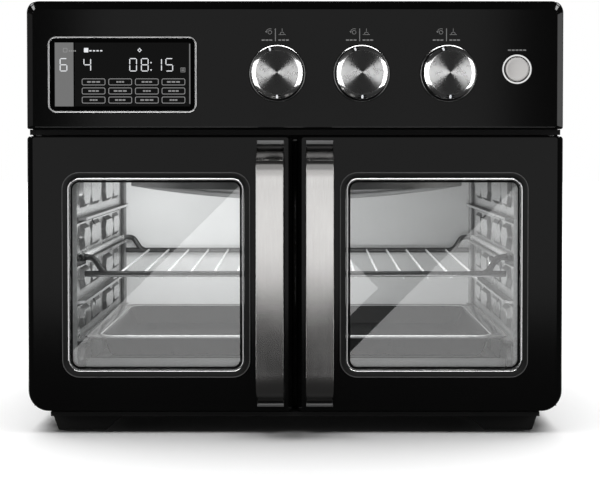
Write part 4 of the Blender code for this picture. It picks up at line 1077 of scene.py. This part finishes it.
def make_handle(side):
    low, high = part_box(f"{side}_handle")
    centre, width = (low.x + high.x) / 2, high.x - low.x
    thick, bow = 0.0030, 0.0016
    half = thick / 2
    top, bottom = high.z, low.z
    middle = (top + bottom) / 2
    foot = high.y - half
    end = low.y + half + bow
    upper = [(foot, top), (foot, top - 0.0015), (foot, top - 0.0032), (foot - 0.0012, top - 0.0049),
             (foot - 0.0040, top - 0.0064), ((foot + end) / 2, top - 0.0112), (end + 0.0056, top - 0.0158),
             (end + 0.0024, top - 0.0184), (end + 0.0007, top - 0.0222), (end, top - 0.0270)]
    bar = []
    for i in range(1, 24):
        t = i / 24
        z = (top - 0.0270) * (1 - t) + (bottom + 0.0270) * t
        bar.append((end - bow * math.sin(math.pi * t), z))
    lower = [(y, 2 * middle - z) for y, z in reversed(upper)]
    path = smooth_path([(0.0, y, z) for y, z in upper + bar + lower], 3)
    edge, steps = 0.0006, 3
    section = rounded_rect(around(0.0, width / 2), around(0.0, half), edge, steps)
    bm = bmesh.new()
    rings = []
    for i, point in enumerate(path):
        before, after = path[max(i - 1, 0)], path[min(i + 1, len(path) - 1)]
        tangent = (after - before).normalized()
        normal = Vector((0, tangent.z, -tangent.y))
        rings.append([bm.verts.new((centre + u, point.y + normal.y * v, point.z + normal.z * v))
                      for u, v in section])
    bm.faces.new(rings[0])
    bm.faces.new(rings[-1])
    for near, far in zip(rings, rings[1:]):
        for k in range(len(section)):
            m = (k + 1) % len(section)
            bm.faces.new((near[k], near[m], far[m], far[k]))
    strap = piece(f"{side}_handle_strap", bm, MAT["handle"], f"{side}_door", [f"{side}_handle"])
    # the strap's ends next to the door take the darker copy: painted shade
    dress_faces(strap, [MAT["handle"], MAT["handle_end_painted_shade"]],
                lambda polygon: 0 if bottom + 0.0052 < polygon.center.z < top - 0.0052 else 1)


# ------------------------------------------------------------------ cavity
WALL_LOW, WALL_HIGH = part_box("cavity_right_wall")
CAVITY_HALF = WALL_HIGH.x - SHEET
CAVITY_FRONT, CAVITY_BACK = WALL_LOW.y, WALL_HIGH.y
FLOOR_Z, CEILING_Z = WALL_LOW.z, WALL_HIGH.z
GUIDES = (0.0711, 0.1050, 0.1389, 0.1754)
GUIDE_REACH, GUIDE_DROP = 0.0078, 0.0055


def octagon_pad(d, z, d_span, z_span, cut, height, slope):
    """Height of a pressed pad with cut corners at a place on the wall."""
    du = abs(d - (d_span[0] + d_span[1]) / 2) - (d_span[1] - d_span[0]) / 2
    dz = abs(z - (z_span[0] + z_span[1]) / 2) - (z_span[1] - z_span[0]) / 2
    corner = (du + dz + cut) / math.sqrt(2)
    outside = max(du, dz, corner)
    t = min(max(-outside / slope, 0.0), 1.0)
    return height * t * t * (3 - 2 * t)


def guide_height(z):
    """Height of the rack guides: a flat ledge on top, sloping back below."""
    for top in GUIDES:
        if top - GUIDE_DROP < z <= top:
            drop = top - z
            if drop < 0.0022:
                return GUIDE_REACH
            return GUIDE_REACH * (1 - (drop - 0.0022) / (GUIDE_DROP - 0.0022))
    return 0.0


def wall_height(d, z):
    height = guide_height(z) * min(max((d - 0.0330) / 0.0120, 0.0), 1.0)
    levels = (0.0335,) + GUIDES + (0.2420,)
    for low, high in zip(levels, levels[1:]):
        span = (low + 0.0070, high - GUIDE_DROP - 0.0008)
        if not span[0] <= z <= span[1]:
            continue
        for start, end, lift in ((0.050, 0.101, 0.0042), (0.106, 0.178, 0.0026),
                                 (0.187, 0.251, 0.0042), (0.257, 0.312, 0.0026)):
            height = max(height, octagon_pad(d, z, (start, end), span, 0.010, lift, 0.0042))
    return height


def make_cavity_wall(side, sign):
    step = 0.0016
    length = CAVITY_BACK - CAVITY_FRONT
    columns = [i * length / round(length / step) for i in range(round(length / step) + 1)]
    levels = [FLOOR_Z + i * (CEILING_Z - FLOOR_Z) / 126 for i in range(127)]
    for top in GUIDES:
        levels = [z for z in levels if not top - 0.0062 < z < top + 0.0012]
        levels += [top - GUIDE_DROP - 0.0002, top - GUIDE_DROP, top - 0.0040, top - 0.0022, top - 0.0012,
                   top, top + 0.00005]
    levels.sort()
    bm = bmesh.new()
    grid = []
    for along in columns:
        column = []
        for z in levels:
            near_fade = min(max((along - 0.004) / 0.008, 0.0), 1.0)
            far_fade = min(max((length - 0.010 - along) / 0.012, 0.0), 1.0)
            fade = near_fade * far_fade
            height = wall_height(along + CAVITY_FRONT - FRONT, z)
            if guide_height(z) == 0.0:
                height *= fade
            column.append(bm.verts.new((sign * (CAVITY_HALF - height), CAVITY_FRONT + along, z)))
        grid.append(column)
    for near, far in zip(grid, grid[1:]):
        for k in range(len(levels) - 1):
            bm.faces.new((near[k], near[k + 1], far[k + 1], far[k]))
    back = [bm.verts.new((sign * WALL_HIGH.x, y, z))
            for y in (CAVITY_FRONT, CAVITY_BACK) for z in (FLOOR_Z, CEILING_Z)]
    bm.faces.new([back[0], back[1], back[3], back[2]])
    bm.faces.new([column[0] for column in grid] + [back[2], back[0]])
    bm.faces.new([column[-1] for column in grid] + [back[3], back[1]])
    bm.faces.new(grid[0] + [back[1], back[0]])
    bm.faces.new(grid[-1] + [back[3], back[2]])
    wall = new_object(f"cavity_{side}_pressing", bm)
    holes = []
    for z in (0.0962, 0.1320, 0.1680):
        middle, half = depth(0.1310), 0.0050
        holes.append(prism([(middle - half, z), (middle, z - half), (middle + half, z), (middle, z + half)],
                           "X", sign * 0.1700, sign * 0.1900))
    carve(wall, merge(holes))
    dress(wall, MAT["cavity"], "chassis", [f"cavity_{side}_wall"])
    # faces not facing straight across take the darker copy: painted shade on slopes and ledges
    dress_faces(wall, [MAT["cavity"], MAT["slope"]],
                lambda polygon: 0 if abs(polygon.normal.x) > 0.90 else 1)


def make_cavity_back():
    """Plain rear sheet, with a coved strip up each corner."""
    low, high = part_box("cavity_back_wall")
    sheet = new_object("cavity_back_sheet", box((low.x, high.x), (low.y, high.y), (low.z, high.z)))
    dress(sheet, MAT["back"], "chassis", ["cavity_back_wall"])
    radius, gap = 0.0050, 0.0002
    for side, sign in (("left", -1), ("right", 1)):
        x, y = CAVITY_HALF - gap, low.y - gap
        outline = [(sign * x, y)]
        outline += [(sign * u, v) for u, v in arc((x - radius, y - radius), radius, 90, 0, SMOOTH)]
        # the coves take the darker copy of the cavity steel: painted shade in the back corners
        piece(f"cavity_{side}_cove", prism(outline, "Z", FLOOR_Z + 0.001, CEILING_Z - 0.001), MAT["slope"],
              "chassis")


def make_mouth_lining():
    """Bright lip round the mouth of the cavity, seen at the edges of the glass."""
    opening_low = FLOOR_Z + 0.0005
    outer = rounded_rect((-0.1990, 0.1990), (opening_low - 0.010, CEILING_Z + 0.0060), 0.010)
    inner = rounded_rect((-CAVITY_HALF + 0.0022, CAVITY_HALF - 0.0022), (opening_low, CEILING_Z), 0.008)
    near = depth(0.0276)
    rings = [(inner, near + 0.0003), (outer, near + 0.0003), (outer, near), (inner, near)]
    piece("cavity_mouth_lip", skin(rings, "Y", closed=True), MAT["lip"], "chassis")


def make_fan_guard():
    low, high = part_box("fan_guard")
    centre = spot("fan_guard")
    radius = (high.x - low.x) / 2
    rise = 0.0135

    def height(r):
        return low.z + rise * (r / radius) ** 2

    radii = [radius * i / 14 for i in range(15)]
    wall = 0.0008
    outer = [(r, height(r)) for r in radii]
    inner = [(min(r, radius - wall), height(r) + wall) for r in reversed(radii)]
    profile = outer + [(radius, high.z), (radius - wall, high.z)] + inner
    guard = new_object("fan_guard_shell", turned(profile, "Z", (centre.x, centre.y), 120))
    slots = []
    for i in range(10):
        outline = rounded_rect((0.050, 0.130), (-0.005, 0.005), 0.0048, 5)
        slot = prism(outline, "Z", low.z - 0.005, low.z + 0.020)
        turn = Matrix.Translation((centre.x, centre.y, 0.0)) @ Matrix.Rotation(2 * math.pi * i / 10, 4, "Z")
        bmesh.ops.transform(slot, matrix=turn, verts=slot.verts[:])
        slots.append(slot)
    carve(guard, merge(slots))
    dress(guard, MAT["guard"], "chassis", ["fan_guard"])


def make_lamp():
    low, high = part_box("oven_lamp")
    centre = spot("oven_lamp")
    top = high.z
    profile = [(0, top), (0.0170, top), (0.0170, top - 0.0025), (0.0160, top - 0.0036), (0.0145, top - 0.0045)]
    for i in range(1, 9):
        angle = math.radians(90 * i / 8)
        profile.append((0.0142 * math.cos(angle), top - 0.0050 - 0.0112 * math.sin(angle)))
    profile[-1] = (0, low.z)
    piece("oven_lamp_cover", turned(profile, "Z", (centre.x, centre.y), 48), MAT["lamp"], "chassis",
          ["oven_lamp"])


def make_socket():
    low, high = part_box("rotisserie_socket")
    centre = spot("rotisserie_socket")
    radius = (high.y - low.y) / 2
    near, wall = low.x, CAVITY_HALF - 0.0003
    profile = [(0, near), (radius * 0.55, near), (radius * 0.75, near + 0.0003), (radius * 0.93, near + 0.0012),
               (radius, near + 0.0026), (radius, wall), (0.0030, wall), (0.0030, high.x), (0, high.x)]
    socket = new_object("rotisserie_socket_cup", turned(profile, "X", (centre.y, centre.z), 64))
    carve(socket, box((near - 0.002, near + 0.0045), around(centre.y, 0.0040), around(centre.z, 0.0040)))
    dress(socket, MAT["chrome"], "rotisserie_socket", ["rotisserie_socket"])


# ------------------------------------------------------------------ rack, pan and tray
def make_rack():
    low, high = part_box("wire_rack")
    rod, wire = 0.0026, 0.0011
    level, rail = low.z + rod, high.z - rod
    half, flat = high.x - rod, 0.1588
    front, back = low.y + rod, high.y - rod
    rise, step = rail - level, half - flat
    corner = [(flat - 0.004, 0.0, level), (flat, 0.0, level + 0.0005),
              (flat + step * 0.20, 0.0, level + rise * 0.18),
              (flat + step * 0.46, 0.0004, level + rise * 0.80), (flat + step * 0.60, 0.0012, rail - 0.0006),
              (flat + step * 0.80, 0.0040, rail), (half - 0.0012, 0.0090, rail), (half, 0.0160, rail)]
    loop = [(x, front + inward, z) for x, inward, z in corner]
    loop += [(x, back - 2.4 * inward, z) for x, inward, z in reversed(corner)]
    loop += [(-x, back - 2.4 * inward, z) for x, inward, z in corner]
    loop += [(-x, front + inward, z) for x, inward, z in reversed(corner)]
    rods = piece("wire_rack_rods", tube(smooth_path(loop, 5, closed=True), rod, 16, closed=True), MAT["rack"],
                 "wire_rack", ["wire_rack"])
    # the straight side rails take the bright copy as painted light, the rest of the rods the dark copy as
    # painted shade
    dress_faces(rods, [MAT["rack"], MAT["wire"]],
                lambda polygon: 1 if abs(polygon.center.x) > half - 0.004
                and front + 0.013 < polygon.center.y < back - 0.013 else 0)
    parts = []
    under = rod + wire - 0.0002
    for i in range(16):
        x = (i - 7.5) * 0.0205
        points = [(x, front - 0.0006, level - under * 0.98), (x, front + 0.0060, level - under * 0.90),
                  (x, (front + back) / 2, level - 0.0014), (x, back - 0.0090, level + 0.0004),
                  (x, back - 0.0022, level + 0.0014)]
        parts.append(tube(points, wire, 10, ends=0.35))
    wires = piece("wire_rack_wires", merge(parts), MAT["wire"], "wire_rack")
    # where the wires rise over the back rod they take the dark copy: painted shade
    dress_faces(wires, [MAT["wire"], MAT["rack"]],
                lambda polygon: 0 if polygon.center.y < back - 0.014 or polygon.center.y > back - 0.003 else 1)


def make_pan():
    low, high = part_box("baking_pan")
    rim, slope, sheet = 0.0135, 0.0050, 0.0008
    top, bottom = high.z, low.z

    def ring(inset, radius):
        return rounded_rect((low.x + inset, high.x - inset), (low.y + inset, high.y - inset), radius)

    outside = [(rim + slope + 0.0060, 0.008, bottom), (rim + slope + 0.0030, 0.010, bottom + 0.0006),
               (rim + slope + 0.0006, 0.012, bottom + 0.0028), (rim - sheet + 0.0010, 0.014, top - 0.0028),
               (rim - sheet - 0.0008, 0.015, top - sheet), (0.0012, 0.018, top - sheet - 0.0002),
               (0.0004, 0.018, top - 0.0016), (0.0, 0.018, top - 0.0008), (0.0004, 0.018, top)]
    inside = [(rim - 0.0012, 0.015, top), (rim, 0.014, top - 0.0005), (rim + 0.0008, 0.014, top - 0.0024),
              (rim + slope + 0.0010, 0.012, bottom + 0.0048), (rim + slope + 0.0024, 0.011, bottom + 0.0022),
              (rim + slope + 0.0070, 0.008, bottom + 0.0012)]
    rings = [(ring(inset, radius), z) for inset, radius, z in outside + inside]
    piece("baking_pan_enamelled", skin(rings, "Z"), MAT["pan"], "baking_pan", ["baking_pan"])
    # thin light-grey tube along the inner rim edge: a painted highlight line
    edge = ring(rim - 0.0010, 0.015)
    rim_highlight = tube([(x, y, top - 0.0001) for x, y in edge], 0.0005, 8, closed=True)
    piece("baking_pan_highlight_bead", rim_highlight, MAT["pan_edge_highlight"], "baking_pan")


def make_tray():
    low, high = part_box("crumb_tray")
    near, far, base, lip = low.y, high.y, low.z, high.z
    outline = [(near, base), (far, base), (far, base + 0.0060), (far - 0.0010, base + 0.0060),
               (far - 0.0010, base + 0.0010), (near + 0.0030, base + 0.0010), (near + 0.0030, lip - 0.0030),
               (near + 0.0040, lip), (near, lip)]
    tray = new_object("crumb_tray_sheet", prism(outline, "X", low.x, high.x))
    edge_round(tray, 0.0004, 2)
    dress(tray, MAT["tray"], "crumb_tray", ["crumb_tray"])


# ------------------------------------------------------------------ studio
def make_floor():
    """White ground that takes soft shadows and is lit by its own high, wide light."""
    bm = bmesh.new()
    bmesh.ops.create_grid(bm, x_segments=1, y_segments=1, size=8.0)
    floor = new_object("studio_floor", bm)
    shader = Shader("studio_floor").set(base_color=grey(0.86), roughness=0.9)
    shader.bsdf.inputs["Specular IOR Level"].default_value = 0.0
    floor.data.materials.append(shader.material)
    floor.visible_glossy = False
    floor.visible_diffuse = False
    floor.visible_transmission = False
    floor.visible_shadow = False
    data = bpy.data.lights.new("ground_light", "SUN")
    data.energy = 6.0
    data.angle = math.radians(100)
    sun = bpy.data.objects.new("ground_light", data)
    bpy.context.scene.collection.objects.link(sun)
    sun.rotation_euler = (math.radians(-22), 0.0, 0.0)
    receivers = bpy.data.collections.new("ground_receivers")
    receivers.objects.link(floor)
    sun.light_linking.receiver_collection = receivers


def make_world():
    """White behind the oven; a faint even glow on everything else."""
    world = bpy.data.worlds.new("studio")
    bpy.context.scene.world = world
    world.use_nodes = True
    nodes, links = world.node_tree.nodes, world.node_tree.links
    seen = nodes.new("ShaderNodeLightPath")
    level = nodes.new("ShaderNodeMapRange")
    level.inputs["To Min"].default_value = 0.03
    level.inputs["To Max"].default_value = 1.0
    links.new(seen.outputs["Is Camera Ray"], level.inputs["Value"])
    links.new(level.outputs["Result"], nodes["Background"].inputs["Strength"])
    nodes["Background"].inputs["Color"].default_value = (1.0, 1.0, 1.0, 1.0)


# starts of the names of the pieces that each key stands for
GROUPS = {
    "shells": ("left_door_shell", "right_door_shell"),
    "doors": ("left_door_shell", "right_door_shell", "left_window_band", "right_window_band"),
    "fascia": ("control_fascia_shell",),
    "black": ("left_door_shell", "right_door_shell", "control_fascia_shell", "outer_wrap", "rear_",
              "front_frame", "base_pan", "foot_", "cord_", "left_window_line", "right_window_line",
              "left_window_band", "right_window_band"),
    "handles": ("left_handle", "right_handle"),
    "knobs": ("knob_left_cap", "knob_centre_cap", "knob_right_cap"),
    "bright": ("knob_ring_", "button_ring", "start_button", "display_bezel", "left_window_bead",
               "right_window_bead", "left_window_line", "right_window_line", "cavity_mouth_lip"),
    "print": ("fascia_print",),
    "cavity": ("cavity_left", "cavity_right", "cavity_back", "cavity_floor", "cavity_ceiling", "wire_rack",
               "baking_pan", "crumb_tray", "rotisserie_socket", "lower_heater"),
    "guard": ("fan_guard", "oven_lamp", "top_heater"),
    "back": ("cavity_back_sheet",),
    "rack": ("wire_rack",),
    "wires": ("wire_rack_wires",),
    "low": ("baking_pan_enamelled", "crumb_tray", "cavity_floor"),
    "pan": ("baking_pan_enamelled",),
    "panes": ("left_outer_pane", "right_outer_pane"),
}


def group(*keys):
    """Collection of the shown pieces whose names start as the groups say."""
    name = "lit_" + "_".join(keys)
    found = bpy.data.collections.get(name)
    if found:
        return found
    found = bpy.data.collections.new(name)
    starts = tuple(start for key in keys for start in GROUPS[key])
    for obj in bpy.context.scene.objects:
        if obj.type == "MESH" and obj.name.startswith(starts):
            found.objects.link(obj)
    return found


def add_light(name, location, target, size, radiance, *keys):
    """Rectangular light of a given radiance that lights only the named groups."""
    data = bpy.data.lights.new(name, "AREA")
    data.shape = "RECTANGLE"
    data.size, data.size_y = size
    data.energy = radiance * math.pi * size[0] * size[1]
    obj = bpy.data.objects.new(name, data)
    bpy.context.scene.collection.objects.link(obj)
    obj.location = location
    direction = Vector(target) - Vector(location)
    obj.rotation_euler = direction.to_track_quat("-Z", "Y").to_euler()
    if keys:
        obj.light_linking.receiver_collection = group(*keys)
    return obj


CARD_Y = -2.5  # where the front cards stand

# ends of the slanting edge of each window's bright reflection, as (x, z) on the pane
GLARE_SEAMS = {"left": ((-0.1790, 0.0715), (-0.0467, 0.2026)), "right": ((0.0454, 0.0668), (0.1817, 0.2038))}


def add_front_card(name, x, z, radiance, *keys):
    """Upright light well in front of the oven, mirrored by the surfaces that face it."""
    middle = ((x[0] + x[1]) / 2, (z[0] + z[1]) / 2)
    return add_light(name, (middle[0], CARD_Y, middle[1]), (middle[0], 0.0, middle[1]),
                     (x[1] - x[0], z[1] - z[0]), radiance, *keys)


def make_lights():
    add_front_card("door_card", (-2.2, 2.2), (-0.18, 1.4), 0.345, "doors")
    add_front_card("fascia_card", (-0.530, 0.485), (-0.60, 1.4), 0.345, "fascia")
    add_front_card("handle_card", (-1.6, 1.6), (-0.145, 0.36), 1.33, "handles")
    add_front_card("handle_card_high", (-1.6, 1.6), (0.36, 1.00), 0.80, "handles")
    add_front_card("handle_card_top", (-1.6, 1.6), (1.00, 3.20), 0.40, "handles")
    add_front_card("bright_card", (-1.2, 1.2), (-0.6, 1.6), 1.0, "bright", "print")
    for side, sign, chamfer in (("left", -1, 0.15), ("right", 1, 1.0)):
        add_light(f"knob_side_{side}", (sign * 1.00, FRONT - 0.55, 0.2953),
                  (sign * 0.05, FRONT - 0.05, 0.2953), (1.1, 1.25), 5.3, "knobs")
        add_light(f"side_box_{side}", (sign * 1.30, -0.75, 0.35), (0.0, FRONT, 0.20), (0.45, 1.1), 3.0,
                  "black", "bright", "handles")
        add_light(f"rim_box_{side}", (sign * 1.60, 1.50, 0.25), (0.0, 0.0, 0.20), (1.2, 1.6), 0.9, "black")
        add_light(f"fascia_side_{side}", (sign * 1.60, FRONT, 0.30), (0.0, FRONT, 0.30), (0.8, 0.5), chamfer,
                  "fascia")
        add_light(f"corner_box_{side}", (sign * 0.95, FRONT, 1.15), (sign * 0.20, FRONT, 0.35), (0.30, 0.30),
                  7.0, "fascia")
        add_light(f"pan_spot_{side}", (sign * 0.090, depth(0.0300), 0.168), (sign * 0.090, depth(0.31), 0.060),
                  (0.024, 0.018), 4.0, "pan")
    add_light("front_high", (0.0, -1.30, 1.50), (0.0, FRONT, 0.20), (1.8, 0.30), 6.0, "black", "bright")
    add_light("front_low", (0.0, -0.75, -0.85), (0.0, FRONT, 0.20), (1.6, 0.22), 6.0,
              "fascia", "bright", "shells")
    add_light("rear_high", (0.0, 0.90, 1.60), (0.0, 0.0, 0.30), (2.2, 1.80), 6.0, "black")
    add_light("top_soft", (0.0, -0.10, 1.90), (0.0, 0.0, 0.0), (0.9, 0.5), 0.4, "bright")
    add_light("handle_top", (0.0, 0.50, 1.80), (0.0, FRONT, 0.23), (1.2, 0.9), 0.55, "handles")
    add_light("cavity_high", (-0.03, depth(0.0360), 0.1800), (-0.03, depth(0.342), 0.120), (0.26, 0.020),
              17.5, "cavity")
    add_light("cavity_left_high", (-0.150, depth(0.1800), 0.1780), (-0.150, depth(0.342), 0.168),
              (0.05, 0.03), 26.0, "back")
    add_light("cavity_low", (0.0, depth(0.0330), 0.1000), (0.0, depth(0.342), 0.150), (0.34, 0.012), 24.0,
              "cavity", "guard")
    add_light("rack_front", (0.0, FRONT - 0.60, 0.60), (0.0, depth(0.15), 0.128), (0.9, 0.10), 6.0, "rack")
    add_light("rack_high", (0.0, depth(0.1800), 0.1790), (0.0, depth(0.1800), 0.0), (0.33, 0.20), 1.6, "wires")
    add_light("low_front", (0.0, FRONT - 1.00, 0.30), (0.0, depth(0.05), 0.050), (1.2, 0.50), 1.6, "low")


def make_glare(camera):
    """Two slanting lights level with the camera, mirrored only by the outer panes."""
    eye = camera.location
    for side, ends in GLARE_SEAMS.items():
        low, high = (Vector((2 * x - eye.x, 0.0, 2 * z - eye.z)) for x, z in ends)
        along = (high - low).normalized()
        down = Vector((along.z, 0.0, -along.x))
        size = ((high - low).length * 1.25, 0.28)
        middle = (low + high) / 2 + down * size[1] / 2
        middle.y = eye.y
        glare = add_light(f"glare_{side}", middle, middle + Vector((0.0, 1.0, 0.0)), size, 1.45, "panes")
        glare.rotation_euler = Matrix((along, -down, -along.cross(down))).transposed().to_euler()


def make_camera():
    data = bpy.data.cameras.new("camera")
    data.lens = 88.10
    data.sensor_width = 36.0
    data.sensor_fit = "HORIZONTAL"
    data.shift_x = -0.0101
    data.shift_y = -0.0874
    camera = bpy.data.objects.new("camera", data)
    bpy.context.scene.collection.objects.link(camera)
    camera.location = (0.0090, FRONT - 1.2, 0.2369)
    camera.rotation_euler = (math.radians(88.4), 0.0, 0.0)
    bpy.context.scene.camera = camera
    return camera


def main():
    camera = make_camera()
    bpy.context.scene.view_settings.view_transform = "Standard"
    dress_kept_nodes()
    make_outer_wrap()
    make_rear_cover()
    make_cord_inlet()
    make_feet()
    make_fascia()
    make_display()
    make_fascia_print()
    make_knobs()
    make_start_button()
    for side, sign in (("left", -1), ("right", 1)):
        make_door_panel(side, sign)
        make_window(side, sign)
        make_handle(side)
        make_cavity_wall(side, sign)
    make_cavity_back()
    make_mouth_lining()
    make_fan_guard()
    make_lamp()
    make_socket()
    make_rack()
    make_pan()
    make_tray()
    make_floor()
    make_world()
    make_lights()
    make_glare(camera)


main()
